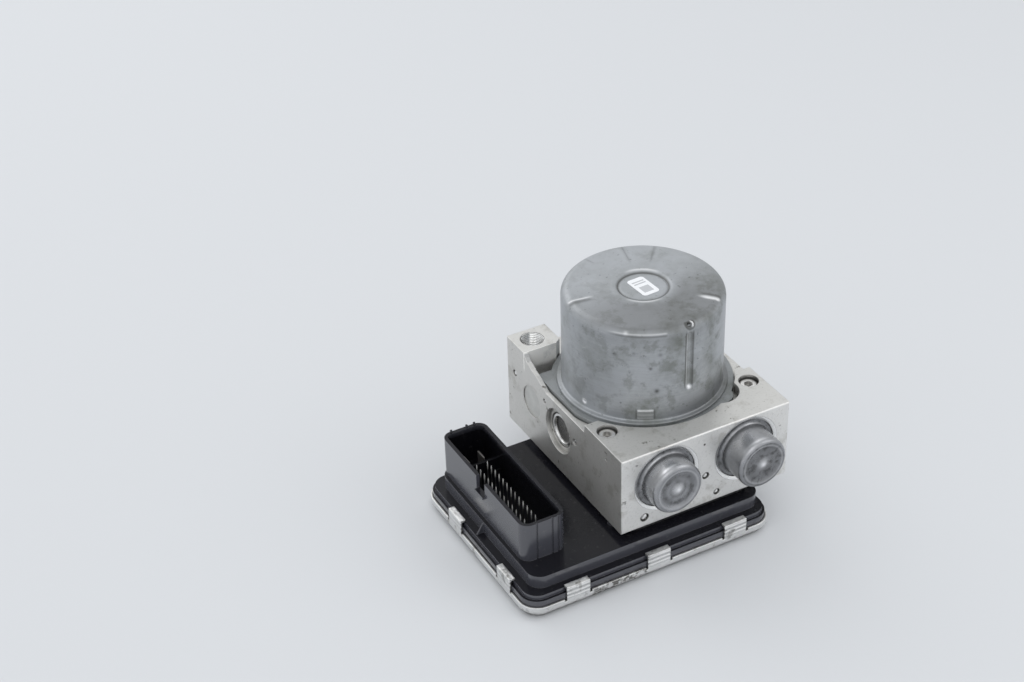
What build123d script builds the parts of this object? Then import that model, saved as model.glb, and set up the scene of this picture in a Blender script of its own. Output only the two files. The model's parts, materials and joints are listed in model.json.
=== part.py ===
from build123d import *
import os
from math import cos, radians, sin, sqrt

# An anti-lock brake module, standing on the metal cover of its control unit.
# From the bottom up: stamped cover, plastic control unit with a tall connector, machined valve
# block with two low-pressure accumulators and two pumps, and the pump motor in its steel can.
# All sizes are in millimetres. The front (-Y) carries the accumulators, the left (-X) the connector.

# Valve block: an extruded and machined aluminium prism
block_width = 91.0
block_depth = 107.0
block_height = 41.6
block_edge = 0.5

# How far the other pieces reach past the block and below it
cover_left_reach = 54.5
cover_right_inset = 12.0
cover_front_reach = 10.0
cover_depth = 105.0
housing_gap = 3.5
housing_body_height = 6.5
rim_height = 6.0
cover_height = 6.5
cover_wall = 1.0
cover_corner = 10.0
cover_bottom_round = 1.8
cover_joggle = 1.8
cover_skirt = 2.9

# Front pads, the lowered top behind them, and the port towers on the two rear corners
pad_depth = 33.0
lowered_step = 4.1
tower_width = 21.0
tower_depth = 17.0
tower_rise = 6.4
fin_width = 3.6
fin_length = 6.0
web_width = 2.6
# the web's slope, as (distance in front of the tower, drop below its top)
web_slope = ((0.8, 1.8), (2.9, 3.9), (6.7, 5.4), (11.5, 6.6), (21.0, 10.5))
pocket_depth = 17.0
pocket_length = 10.0

# Motor seat in the top of the block
motor_shift_left = 0.5
motor_from_front = 55.5
recess_margin = 5.6
recess_depth = 5.2
recess_side_wall = 2.2
recess_back = 27.0
lobe_pocket_radius = 10.0
lobe_radius = 7.2
lobe_right_of_motor = 22.5
lobe_front_of_motor = 31.0
flange_clearance = 0.5
flange_thickness = 2.4
seal_thickness = 0.6
seal_inner_gap = 11.6
seal_width = 3.0
hub_radius = 12.6
hub_length = 7.0

# Motor can
can_side_gap = 7.2
can_wall = 1.8
can_height = 51.5
can_shoulder = 4.2
can_bead_reach = 2.3
can_bead_height = 1.6
can_bead_rise = 1.5
can_ring_radius = 12.8
can_ring_width = 1.1
can_ring_depth = 0.9
can_ring_groove = 0.35
can_groove_width = 4.4
can_groove_depth = 0.9
can_groove_angle = -88.0
can_groove_bottom = 15.0
can_groove_top = 44.5
can_vent_radius = 1.7
can_vent_rise = 0.6
can_tab_width = 7.4
can_tab_height = 5.5
can_tab_angle = -119.6
can_tab_proud = 0.5

# Rotor, bearings and brushes
shaft_radius = 4.0
bearing_radius = 8.0
bearing_width = 6.0
bearing_fit = 0.02
bearing_end_gap = 0.5
eccentric_offset = 1.5
eccentric_radius = 5.6
eccentric_bearing_radius = 9.0
eccentric_bearing_width = 9.0
core_length = 22.0
core_from_flange = 17.5
core_slots = 12
core_slot_width = 4.2
core_slot_clearance = 0.2
winding_inner_radius = 14.0
winding_outer_gap = 2.5
core_slot_depth = 10.0
magnet_thickness = 5.0
magnet_gap = 1.0
magnet_count = 4
magnet_angle = 66.0
winding_overhang = 4.0
winding_bar_depth = 6.0
commutator_radius = 11.0
commutator_length = 10.0
commutator_from_flange = 3.0
commutator_bars = 12
commutator_slit = 0.6
brush_width = 6.0
brush_height = 5.0
brush_length = 9.0
brush_count = 4
brush_gap = 0.05
brush_fit = 0.05
brush_spring_radius = 2.0
brush_spring_length = 7.5
holder_wall = 1.0
carrier_thickness = 2.0
carrier_clearance = 0.4
terminal_width = 1.8
terminal_thickness = 0.8
terminal_gap = 1.4
terminal_hole_radius = 2.4
terminal_left_of_motor = 15.0
terminal_behind_motor = 14.4
label_width = 9.0
label_depth = 14.8
label_corner = 1.6
label_thickness = 0.15
label_turn = 3.5

# Hydraulics in the block
pump_below_recess = 14.1
pump_behind_motor = 2.3
pump_mouth_radius = 11.4
pump_mouth_depth = 2.0
pump_bore_radius = 9.0
pump_step_radius = 6.2
pump_step_from_axis = 16.0
pump_plug_thickness = 6.0
pump_plug_rim = 1.9
pump_plug_dish = 1.5
pump_plug_fit = 0.05
sleeve_head_gap = 1.6
sleeve_spring_radius = 5.2
pump_piston_radius = 3.2
pump_spring_length = 8.2
pump_piston_head_radius = 4.6
pump_piston_head = 2.0
pump_piston_gap = 0.1
pump_piston_fit = 0.02
chamber_radius = 13.0
chamber_floor = 10.0
accumulator_left_wall = 12.6
accumulator_right_wall = 12.1
accumulator_web = 20.7
accumulator_top_wall = 1.3
accumulator_rise = 2.9
accumulator_ring_width = 1.7
accumulator_ring_depth = 0.8
accumulator_mouth_width = 4.2
accumulator_mouth_depth = 2.4
accumulator_bore_depth = 26.0
accumulator_rest_gap = 0.5
accumulator_fit = 0.04
accumulator_piston_length = 10.0
piston_wall = 2.0
piston_crown = 5.0
seal_groove_depth = 1.6
seal_groove_width = 2.4
spring_wire = 1.3
spring_turns = 4
spring_clearance = 0.6
spring_end_gap = 0.1
pump_spring_wire = 0.7
pump_spring_turns = 4
cap_over_bore = 1.5
cap_wall = 1.2
cap_lip_gap = 0.2
cap_root_height = 2.6
cap_round = 2.0
cap_nub_radius = 3.4
cap_nub_height = 0.9
cap_nub_flat = 1.2
cap_nub_shoulder = 2.5
cap_nub_fall = 0.3
cap_dish = 0.9
cap_land = 1.0
cap_reach_left = 10.3
cap_reach_right = 14.2
port_radius = 6.0
port_depth = 14.0
port_drill_radius = 2.2
port_drill_depth = 7.5
port_from_left = 9.5
port_from_back = 8.3
wheel_port_radius = 5.0
# the floors of the four wheel ports step up from one to the next
wheel_port_depth = 13.0
wheel_port_step = 0.5
wheel_port_from_bottom = 28.0
wheel_port_count = 4
wheel_port_pitch = 18.5
disc_plug_radius = 8.25
disc_plug_recess = 0.4
disc_plug_thickness = 2.0
disc_plug_from_front = 82.9
disc_plug_from_bottom = 23.8
pad_screw_inset = 6.7
pad_screw_wall = 0.9
pad_counterbore_radius = 4.85
pad_counterbore_depth = 6.4
pad_screw_head_radius = 4.3
pad_screw_head_height = 4.6
pad_screw_radius = 2.9
pad_screw_length = 22.0
pad_screw_socket = 4.0
screw_fit = 0.05
ball_plug_depth = 2.4
ball_plug_sink = 0.5
# each as (distance from the front or the left, height, radius)
side_ball_plugs = ((99.5, 30.8, 1.8), (70.3, 32.1, 1.3), (42.0, 26.0, 1.7), (13.5, 34.7, 0.8))
front_ball_plugs = ((12.4, 5.4, 2.3), (45.4, 16.5, 1.9), (51.8, 4.6, 1.7), (44.2, 34.9, 0.6))

# Valves, their coils and the control electronics
inlet_row_from_front = 35.0
outlet_row_from_front = 79.0
valve_side_room = 27.0
valve_count = 4
valve_gap = 5.2
valve_height = 9.5
valve_stem_radius = 3.2
valve_stem_length = 13.0
valve_fit = 0.05
coil_gap = 0.8
coil_lead_inset = 1.5
coil_height = 10.0
coil_clearance = 0.3
coil_lead_radius = 0.5
sensor_left_of_motor = 5.0
sensor_from_front = 13.0
sensor_radius = 4.4
sensor_height = 7.0
sensor_stem_length = 13.0
board_thickness = 1.6
board_clearance = 1.2
board_standoff = 1.6
post_radius = 2.5
post_inset = 5.0
post_left_inset = 26.6
post_right_from_front = 60.0
chip_height = 1.4
capacitor_radius = 4.5
capacitor_height = 10.0
board_corner = 4.0

# Control unit housing and its connector
housing_left_inset = 6.5
housing_front_inset = 6.4
housing_right_inset = 3.8
housing_back_inset = 5.5
housing_wall = 2.2
housing_roof = 2.0
housing_corner = 7.0
rim_inset = 1.15
rim_step = 1.2
rim_step_height = 2.4
shroud_left_inset = 8.4
shroud_width = 22.7
shroud_front_from_block = 8.8
shroud_length = 81.2
shroud_height = 20.5
shroud_wall = 1.8
shroud_corner = 5.0
shroud_floor = 2.4
shroud_divider_from_front = 61.8
shroud_divider_height = 12.0
divider_thickness = 1.4
key_width = 8.0
key_depth = 7.5
key_from_front = 41.0
key_ledge = 1.2
rim_nub = 1.0
rim_nubs_from_left = (5.4, 13.7, 17.8)
end_grooves_from_left = (7.1, 15.1, 18.1, 20.5)
end_groove_width = 0.8
end_groove_depth = 0.5
pin_pitch = 3.85
pin_count = 13
pin_rows = 2
pin_row_gap = 5.5
pin_row_shift = -1.0
pin_first_from_front = 12.8
pin_size = 0.7
pin_height = 12.1
blade_width = 6.3
blade_thickness = 0.8
blade_height = 10.0
blade_count = 2
blade_pitch = 8.0
blade_from_divider = 8.0
gasket_width = 3.0
gasket_left_inset = 7.0
gasket_front_inset = 3.0
gasket_edge = 3.0
gasket_corner = 5.0
tab_width = 12.0
tab_overlap = 3.0
tab_notch = 1.2
tabs_left_from_front = (24.0, 72.0)
tabs_front_from_left = (26.0, 69.0, 111.0)
gusset_from_front = 55.5
gusset_thickness = 0.8
gusset_drop = 1.0
boss_radius = 2.6
boss_from_left = 3.6
boss_from_front = 13.5
ecu_screw_radius = 1.75
ecu_screw_head_radius = 3.4
ecu_screw_head_height = 2.2
ecu_screw_depth = 8.0
ecu_screw_boss_radius = 3.6
# columns of the screws, counted in valve pitches from the block's left side
ecu_screw_columns = (1.5, 3.5)
ecu_screws_from_front = (22.0, 57.0)

# Frame: the module stands on Z = 0, centred on its own box in X and Y
rim_seat = 0.5
ecu_height = housing_gap + housing_body_height + rim_height + cover_height - rim_seat
block_left = (cover_left_reach - block_width) / 2
cover_width = cover_left_reach + block_width - cover_right_inset
block_right = block_left + block_width
cap_reach_front = max(cap_reach_left, cap_reach_right, cover_front_reach)
block_front = (cap_reach_front - block_depth) / 2
block_back = block_front + block_depth
block_bottom = ecu_height
block_top = block_bottom + block_height
lowered_top = block_top - lowered_step
tower_top = block_top + tower_rise
tower_front = block_back - tower_depth
motor_x = (block_left + block_right) / 2 - motor_shift_left
motor_y = block_front + motor_from_front
recess_floor = block_top - recess_depth
can_radius = block_width / 2 - can_side_gap
can_bead_radius = can_radius + can_bead_reach
recess_radius = can_radius + recess_margin
pump_y = motor_y + pump_behind_motor
pump_z = recess_floor - pump_below_recess
accumulator_z = (block_bottom + block_top) / 2 + accumulator_rise
accumulator_room_across = (block_width - accumulator_left_wall - accumulator_web - accumulator_right_wall) / 4
accumulator_room_up = recess_floor - accumulator_top_wall - accumulator_z
accumulator_bore_radius = min(accumulator_room_across, accumulator_room_up)
accumulator_mouth_radius = accumulator_bore_radius + accumulator_mouth_width
accumulator_ring_radius = accumulator_mouth_radius + accumulator_ring_width
cap_radius = accumulator_bore_radius + cap_over_bore
cap_lip_radius = accumulator_mouth_radius - cap_lip_gap
cap_dish_radius = cap_radius - cap_round - cap_dish - cap_land
cover_left = block_left - cover_left_reach
cover_front = block_front - cover_front_reach
cover_right = cover_left + cover_width
cover_back = cover_front + cover_depth
rim_bottom = cover_height - rim_seat
rim_top = rim_bottom + rim_height
body_top = rim_top + housing_body_height
body_left = cover_left + housing_left_inset
body_right = cover_right - housing_right_inset
body_front = cover_front + housing_front_inset
body_back = cover_back - housing_back_inset
flange_bottom = recess_floor + seal_thickness
flange_top = flange_bottom + flange_thickness
can_top = flange_top + can_height
shroud_left = cover_left + shroud_left_inset
shroud_right = shroud_left + shroud_width
shroud_front = block_front + shroud_front_from_block
shroud_back = shroud_front + shroud_length
shroud_top = body_top + shroud_height
accumulator_x = (block_left + accumulator_left_wall + accumulator_room_across,
                 block_right - accumulator_right_wall - accumulator_room_across)
tower_port_x = (block_left + port_from_left, block_right - port_from_left)
wheel_port_x = [(block_left + block_right) / 2 + (i - (wheel_port_count - 1) / 2) * wheel_port_pitch
                for i in range(wheel_port_count)]
pad_screw_x = (block_left + pad_screw_inset, block_right - pad_screw_inset)
pad_screw_reach = recess_radius + pad_counterbore_radius + pad_screw_wall
pad_screw_y = motor_y - sqrt(pad_screw_reach ** 2 - (motor_x - pad_screw_x[0]) ** 2)
lobe_x = motor_x + lobe_right_of_motor
lobe_y = motor_y - lobe_front_of_motor
piston_from_axis = eccentric_bearing_radius + eccentric_offset + pump_piston_gap
valve_pitch = (block_width - valve_side_room) / valve_count
valve_radius = (valve_pitch - valve_gap) / 2
coil_radius = (valve_pitch - coil_gap) / 2
inlet_places = [(block_left + (i + 1) * valve_pitch, block_front + inlet_row_from_front)
                for i in range(valve_count)]
outlet_places = [(x, block_front + outlet_row_from_front) for x, _ in inlet_places]
sensor_x = motor_x - sensor_left_of_motor
sensor_y = block_front + sensor_from_front
terminal_x = motor_x - terminal_left_of_motor
terminal_y = motor_y + terminal_behind_motor
ecu_screw_places = [(block_left + column * valve_pitch, block_front + along)
                    for column in ecu_screw_columns for along in ecu_screws_from_front]
core_radius = can_radius - can_wall - magnet_thickness - magnet_gap
shaft_bottom = block_bottom + chamber_floor + 1.0
core_bottom = flange_top + core_from_flange
bearing_seat_top = can_top - 2 * can_ring_depth - can_wall / 2
socket_floor = body_top - housing_roof + shroud_floor
divider_y = shroud_front + shroud_divider_from_front
key_y = shroud_front + key_from_front
board_bottom = cover_wall + board_standoff
board_top = board_bottom + board_thickness
board_left = body_left + housing_wall + board_clearance
board_right = body_right - housing_wall - board_clearance
board_front = body_front + housing_wall + board_clearance
board_back = body_back - housing_wall - board_clearance
coil_bottom = body_top - housing_roof - coil_clearance - coil_height
shroud_middle = (shroud_left + shroud_right) / 2
pin_places = [(shroud_middle + pin_row_shift + (row - (pin_rows - 1) / 2) * pin_row_gap,
               shroud_front + pin_first_from_front + i * pin_pitch)
              for row in range(pin_rows) for i in range(pin_count)]
blade_places = [(shroud_middle + (i - (blade_count - 1) / 2) * blade_pitch, divider_y + blade_from_divider)
                for i in range(blade_count)]
post_places = ((board_left + post_left_inset, board_front + post_inset),
               (board_left + post_left_inset, board_back - post_inset),
               (board_right - post_inset, board_front + post_inset),
               (board_right - post_inset, board_front + post_right_from_front))
# each chip as (x, y, width, depth), each capacitor as (x, y); all lie beside the valve coils
free_x = (shroud_right + block_left) / 2
chips = ((free_x, block_front + 57.0, 14.0, 14.0),
         (free_x, block_front + 34.0, 12.0, 10.0),
         (block_left + 2.5 * valve_pitch, block_front + 57.0, 9.0, 7.0))
capacitors = ((free_x, block_front + 15.0), (free_x, block_front + 71.0))


def box_between(x0, x1, y0, y1, z0, z1, mode=Mode.ADD):
    """A box given by its two corners."""
    with BuildSketch(Plane.XY.offset(z0)) as outline:
        with Locations(((x0 + x1) / 2, (y0 + y1) / 2)):
            Rectangle(x1 - x0, y1 - y0)
    extrude(outline.sketch, amount=z1 - z0, mode=mode)


def rounded_box(x0, x1, y0, y1, z0, z1, radius, mode=Mode.ADD):
    """A box with rounded vertical edges."""
    with BuildSketch(Plane.XY.offset(z0)) as outline:
        with Locations(((x0 + x1) / 2, (y0 + y1) / 2)):
            RectangleRounded(x1 - x0, y1 - y0, radius)
    extrude(outline.sketch, amount=z1 - z0, mode=mode)


def disc(x, y, z, radius, height, mode=Mode.ADD):
    """An upright cylinder standing on z."""
    with BuildSketch(Plane.XY.offset(z)) as outline:
        with Locations((x, y)):
            Circle(radius)
    extrude(outline.sketch, amount=height, mode=mode)


def along_x(x, y, z, radius, length, mode=Mode.ADD):
    """A cylinder along X that starts at x, towards +X if its length is positive."""
    with BuildSketch(Plane((x, y, z), x_dir=(0, 1, 0), z_dir=(1, 0, 0))) as outline:
        Circle(radius)
    extrude(outline.sketch, amount=length, mode=mode)


def along_y(x, y, z, radius, length, mode=Mode.ADD):
    """A cylinder along Y that starts at y, towards +Y if its length is positive."""
    with BuildSketch(Plane((x, y, z), x_dir=(1, 0, 0), z_dir=(0, 1, 0))) as outline:
        Circle(radius)
    extrude(outline.sketch, amount=length, mode=mode)


def finish(piece, name):
    """Labels a finished piece and writes its file."""
    piece.label = name
    export_step(piece, f"parts/{name}.step")


def spring(start, axis, radius, wire, length, turns):
    """A coil spring of round wire between two flat faces."""
    lift = wire / 2 + spring_end_gap
    base = Vector(*start) + Vector(*axis) * lift
    with BuildLine() as path:
        Helix((length - 2 * lift) / turns, length - 2 * lift, radius - wire / 2, center=base, direction=axis)
    with BuildSketch(Plane(path.line @ 0, z_dir=path.line % 0)) as section:
        Circle(wire / 2)
    sweep(section.sketch, path=path.line, is_frenet=True)


def seat_outline(clearance):
    """The motor flange's outline: a round with two straight sides, less a clearance all round."""
    width = block_width - 2 * (recess_side_wall + clearance)
    middle = (block_left + block_right) / 2
    with Locations((motor_x, motor_y)):
        Circle(recess_radius - clearance)
    with Locations((middle, motor_y)):
        Rectangle(width, 4 * recess_radius, mode=Mode.INTERSECT)
    with Locations((middle, motor_y + recess_back / 2)):
        Rectangle(width, recess_back - 2 * clearance)


def terminal_span(offset):
    """One motor lead seen from above, as two pairs of limits."""
    middle = terminal_x + offset * terminal_gap
    return (middle - terminal_thickness / 2, middle + terminal_thickness / 2,
            terminal_y - terminal_width / 2, terminal_y + terminal_width / 2)


def gasket_span(inset):
    """The frame-shaped seal between block and control unit, seen from above."""
    return (block_left + gasket_left_inset + inset, body_right - gasket_edge - inset,
            block_front + gasket_front_inset + inset, body_back - gasket_edge - inset)


os.makedirs("parts", exist_ok=True)

# Valve block
fin_front = tower_front - fin_length
with BuildPart() as valve_block:
    box_between(block_left, block_right, block_front, block_back, block_bottom, tower_top)
    chamfer(valve_block.edges().filter_by(Axis.Z), block_edge)
    # everything in front of the towers comes down to the pads, and lower still behind the pads
    web_front = tower_front - web_slope[-1][0]
    box_between(block_left, block_right, block_front, block_front + pad_depth, block_top, tower_top,
                Mode.SUBTRACT)
    box_between(block_left, block_right, block_front + pad_depth, web_front, lowered_top, tower_top,
                Mode.SUBTRACT)
    box_between(block_left + web_width, block_right - web_width, web_front, fin_front, lowered_top, tower_top,
                Mode.SUBTRACT)
    chamfer(valve_block.edges().filter_by(Axis.X).group_by(Axis.Y)[0], block_edge)
    box_between(block_left + tower_width, block_right - tower_width, fin_front, block_back, lowered_top,
                tower_top, Mode.SUBTRACT)
    # a pocket in front of each tower, between the outer web and the inner fin
    for outer, inner in ((block_left + web_width, block_left + tower_width - fin_width),
                         (block_right - tower_width + fin_width, block_right - web_width)):
        box_between(outer, inner, tower_front - pocket_length, tower_front, tower_top - pocket_depth,
                    tower_top, Mode.SUBTRACT)
    # each outer web slopes down from the tower to the lowered side wall
    for x in (block_left, block_right - web_width):
        with BuildSketch(Plane((x, tower_front, 0), x_dir=(0, 1, 0), z_dir=(1, 0, 0))):
            with BuildLine():
                Polyline([(0, tower_top)] + [(-run, tower_top - drop) for run, drop in web_slope]
                         + [(-web_slope[-1][0], tower_top), (0, tower_top)])
            make_face()
        extrude(amount=web_width, mode=Mode.SUBTRACT)
    # the seat of the motor flange, round at the front and straight-sided behind
    with BuildSketch(Plane.XY.offset(recess_floor)):
        seat_outline(0)
    extrude(amount=tower_top - recess_floor, mode=Mode.SUBTRACT)
    disc(lobe_x, lobe_y, recess_floor, lobe_pocket_radius, recess_depth, Mode.SUBTRACT)
    # the eccentric's chamber, and the two pump bores that lead into it from the sides
    disc(motor_x, motor_y, block_bottom + chamber_floor, chamber_radius, block_height, Mode.SUBTRACT)
    for side in (-1, 1):
        face = block_left if side < 0 else block_right
        along_x(face, pump_y, pump_z, pump_mouth_radius, -side * pump_mouth_depth, Mode.SUBTRACT)
        along_x(face, pump_y, pump_z, pump_bore_radius,
                -side * (abs(face - motor_x) - pump_step_from_axis), Mode.SUBTRACT)
        along_x(face, pump_y, pump_z, pump_step_radius, -side * abs(face - motor_x), Mode.SUBTRACT)
        # a staked disc closes the damper chamber behind each pump
        along_x(face, block_front + disc_plug_from_front, block_bottom + disc_plug_from_bottom,
                disc_plug_radius, -side * (disc_plug_recess + disc_plug_thickness), Mode.SUBTRACT)
        for plug_y, plug_z, plug_radius in side_ball_plugs:
            along_x(face, block_front + plug_y, block_bottom + plug_z, plug_radius,
                    -side * ball_plug_depth, Mode.SUBTRACT)
    # the two accumulator bores with their staked mouths
    for x in accumulator_x:
        along_y(x, block_front, accumulator_z, accumulator_ring_radius, accumulator_ring_depth, Mode.SUBTRACT)
        along_y(x, block_front, accumulator_z, accumulator_mouth_radius, accumulator_mouth_depth,
                Mode.SUBTRACT)
        along_y(x, block_front, accumulator_z, accumulator_bore_radius, accumulator_bore_depth,
                Mode.SUBTRACT)
    for plug_x, plug_z, plug_radius in front_ball_plugs:
        along_y(block_left + plug_x, block_front, block_bottom + plug_z, plug_radius, ball_plug_depth,
                Mode.SUBTRACT)
    # hydraulic ports: master cylinder on the towers, wheels on the back face
    for x in tower_port_x:
        disc(x, block_back - port_from_back, tower_top - port_depth, port_radius, port_depth, Mode.SUBTRACT)
        disc(x, block_back - port_from_back, tower_top - port_depth - port_drill_depth, port_drill_radius,
             port_drill_depth, Mode.SUBTRACT)
    for i, x in enumerate(wheel_port_x):
        along_y(x, block_back, block_bottom + wheel_port_from_bottom, wheel_port_radius,
                i * wheel_port_step - wheel_port_depth, Mode.SUBTRACT)
    # socket screws sunk in the front pads
    for x in pad_screw_x:
        disc(x, pad_screw_y, block_top - pad_counterbore_depth, pad_counterbore_radius,
             pad_counterbore_depth, Mode.SUBTRACT)
        disc(x, pad_screw_y, block_top - pad_counterbore_depth - pad_screw_length,
             pad_screw_radius + screw_fit, pad_screw_length, Mode.SUBTRACT)
    # valve and sensor bores in the underside, screw holes and the way through for the motor leads
    for x, y in inlet_places + outlet_places:
        disc(x, y, block_bottom, valve_radius + valve_fit, valve_height, Mode.SUBTRACT)
    disc(sensor_x, sensor_y, block_bottom, sensor_radius + valve_fit, sensor_height, Mode.SUBTRACT)
    for x, y in ecu_screw_places:
        disc(x, y, block_bottom, ecu_screw_radius + screw_fit, ecu_screw_depth, Mode.SUBTRACT)
    disc(terminal_x, terminal_y, block_bottom, terminal_hole_radius, block_height, Mode.SUBTRACT)
finish(valve_block.part, "valve_block")

# Plugs that close the drilled passages
with BuildPart() as ball_plugs:
    for side in (-1, 1):
        face = block_left if side < 0 else block_right
        for plug_y, plug_z, plug_radius in side_ball_plugs:
            along_x(face - side * ball_plug_sink, block_front + plug_y, block_bottom + plug_z,
                    plug_radius, -side * (ball_plug_depth - ball_plug_sink))
    for plug_x, plug_z, plug_radius in front_ball_plugs:
        along_y(block_left + plug_x, block_front + ball_plug_sink, block_bottom + plug_z, plug_radius,
                ball_plug_depth - ball_plug_sink)
finish(ball_plugs.part, "ball_plugs")

with BuildPart() as damper_discs:
    for side in (-1, 1):
        face = block_left if side < 0 else block_right
        along_x(face - side * disc_plug_recess, block_front + disc_plug_from_front,
                block_bottom + disc_plug_from_bottom, disc_plug_radius, -side * disc_plug_thickness)
finish(damper_discs.part, "damper_discs")

with BuildPart() as pad_screws:
    for x in pad_screw_x:
        head_bottom = block_top - pad_counterbore_depth
        disc(x, pad_screw_y, head_bottom, pad_screw_head_radius, pad_screw_head_height)
        disc(x, pad_screw_y, head_bottom - pad_screw_length, pad_screw_radius, pad_screw_length)
        with BuildSketch(Plane.XY.offset(head_bottom + pad_screw_head_height)) as socket:
            with Locations((x, pad_screw_y)):
                RegularPolygon(pad_screw_socket / 2, 6, major_radius=False)
        extrude(socket.sketch, amount=-pad_screw_head_height / 2, mode=Mode.SUBTRACT)
finish(pad_screws.part, "pad_screws")

# Pumps: a plug, a sleeve, a sprung piston on each side of the eccentric
for side, name in ((-1, "left"), (1, "right")):
    face = block_left if side < 0 else block_right
    plug_face = face - side * pump_mouth_depth
    with BuildPart() as pump_plug:
        along_x(plug_face, pump_y, pump_z, pump_bore_radius - pump_plug_fit, -side * pump_plug_thickness)
        along_x(plug_face, pump_y, pump_z, pump_bore_radius - pump_plug_rim, -side * pump_plug_dish,
                Mode.SUBTRACT)
    finish(pump_plug.part, f"pump_plug_{name}")

    sleeve_start = motor_x + side * pump_step_from_axis
    sleeve_length = abs(plug_face - sleeve_start) - pump_plug_thickness
    piston_start = motor_x + side * piston_from_axis
    piston_room = abs(plug_face - piston_start) - pump_plug_thickness
    piston_length = piston_room - pump_spring_length - pump_piston_head
    sleeve_guide = abs(piston_start - motor_x) + piston_length - pump_step_from_axis - sleeve_head_gap
    with BuildPart() as pump_sleeve:
        along_x(sleeve_start, pump_y, pump_z, pump_bore_radius - pump_plug_fit, side * sleeve_length)
        along_x(sleeve_start, pump_y, pump_z, pump_piston_radius + pump_piston_fit, side * sleeve_length,
                Mode.SUBTRACT)
        along_x(sleeve_start + side * sleeve_guide, pump_y, pump_z, sleeve_spring_radius,
                side * (sleeve_length - sleeve_guide), Mode.SUBTRACT)
    finish(pump_sleeve.part, f"pump_sleeve_{name}")

    with BuildPart() as pump_piston:
        along_x(piston_start, pump_y, pump_z, pump_piston_radius, side * piston_length)
        along_x(piston_start + side * piston_length, pump_y, pump_z, pump_piston_head_radius,
                side * pump_piston_head)
    finish(pump_piston.part, f"pump_piston_{name}")

    spring_start = piston_start + side * (piston_length + pump_piston_head)
    with BuildPart() as pump_spring:
        spring((spring_start, pump_y, pump_z), (side, 0, 0), pump_piston_head_radius, pump_spring_wire,
               pump_spring_length, pump_spring_turns)
    finish(pump_spring.part, f"pump_spring_{name}")

# Low-pressure accumulators: a staked cap, a piston with its ring, and a spring between them
for x, reach, name in ((accumulator_x[0], cap_reach_left, "left"),
                       (accumulator_x[1], cap_reach_right, "right")):
    lip_top = cap_wall - accumulator_mouth_depth
    with BuildPart() as accumulator_cap:
        # local x is the radius and local y points out of the block
        with BuildSketch(Plane((x, block_front, accumulator_z), x_dir=(1, 0, 0), z_dir=(0, 0, -1))):
            with BuildLine():
                nub_top = reach - cap_dish + cap_nub_height
                l1 = Line((0, nub_top), (cap_nub_flat, nub_top))
                l2 = ThreePointArc(l1 @ 1, (cap_nub_shoulder, nub_top - cap_nub_fall),
                                   (cap_nub_radius, reach - cap_dish))
                l3 = Line(l2 @ 1, (cap_dish_radius, reach - cap_dish))
                l4 = Line(l3 @ 1, (cap_dish_radius + cap_dish, reach))
                l5 = Line(l4 @ 1, (cap_radius - cap_round, reach))
                l6 = RadiusArc(l5 @ 1, (cap_radius, reach - cap_round), cap_round)
                l7 = Line(l6 @ 1, (cap_radius, lip_top + cap_root_height))
                l8 = Line(l7 @ 1, (cap_lip_radius, lip_top))
                l9 = Line(l8 @ 1, (cap_lip_radius, lip_top - cap_wall))
                l10 = Line(l9 @ 1, (cap_radius - cap_wall, lip_top - cap_wall))
                l11 = Line(l10 @ 1, (cap_radius - cap_wall, reach - cap_wall - cap_dish))
                l12 = Line(l11 @ 1, (0, reach - cap_wall - cap_dish))
                Line(l12 @ 1, l1 @ 0)
            make_face()
        revolve(axis=Axis((x, block_front, accumulator_z), (0, 1, 0)))
    finish(accumulator_cap.part, f"accumulator_cap_{name}")

    crown_y = block_front + accumulator_bore_depth - accumulator_rest_gap
    skirt_y = crown_y - accumulator_piston_length
    groove_y = crown_y - piston_crown / 2 - seal_groove_width / 2
    piston_radius = accumulator_bore_radius - accumulator_fit
    with BuildPart() as accumulator_piston:
        along_y(x, skirt_y, accumulator_z, piston_radius, accumulator_piston_length)
        along_y(x, skirt_y, accumulator_z, piston_radius - piston_wall - seal_groove_depth,
                accumulator_piston_length - piston_crown, Mode.SUBTRACT)
        along_y(x, groove_y, accumulator_z, piston_radius, seal_groove_width, Mode.SUBTRACT)
        along_y(x, groove_y, accumulator_z, piston_radius - seal_groove_depth, seal_groove_width)
    finish(accumulator_piston.part, f"accumulator_piston_{name}")

    with BuildPart() as accumulator_seal:
        along_y(x, groove_y, accumulator_z, piston_radius, seal_groove_width)
        along_y(x, groove_y, accumulator_z, piston_radius - seal_groove_depth, seal_groove_width,
                Mode.SUBTRACT)
    finish(accumulator_seal.part, f"accumulator_seal_{name}")

    spring_back = crown_y - piston_crown
    spring_front = block_front - reach + cap_wall + cap_dish
    with BuildPart() as accumulator_spring:
        spring((x, spring_front, accumulator_z), (0, 1, 0),
               piston_radius - piston_wall - seal_groove_depth - spring_clearance, spring_wire,
               spring_back - spring_front, spring_turns)
    finish(accumulator_spring.part, f"accumulator_spring_{name}")

# Valve cartridges pressed into the underside, their stems reaching down into the coils
for places, name in ((inlet_places, "inlet_valves"), (outlet_places, "outlet_valves")):
    with BuildPart() as valves:
        for x, y in places:
            disc(x, y, block_bottom, valve_radius, valve_height)
            disc(x, y, block_bottom - valve_stem_length, valve_stem_radius, valve_stem_length)
        chamfer(valves.edges().group_by(Axis.Z)[0], valve_stem_radius / 3)
    finish(valves.part, name)

with BuildPart() as pressure_sensor:
    disc(sensor_x, sensor_y, block_bottom, sensor_radius, sensor_height)
    disc(sensor_x, sensor_y, block_bottom - sensor_stem_length, valve_stem_radius, sensor_stem_length)
finish(pressure_sensor.part, "pressure_sensor")

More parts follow.
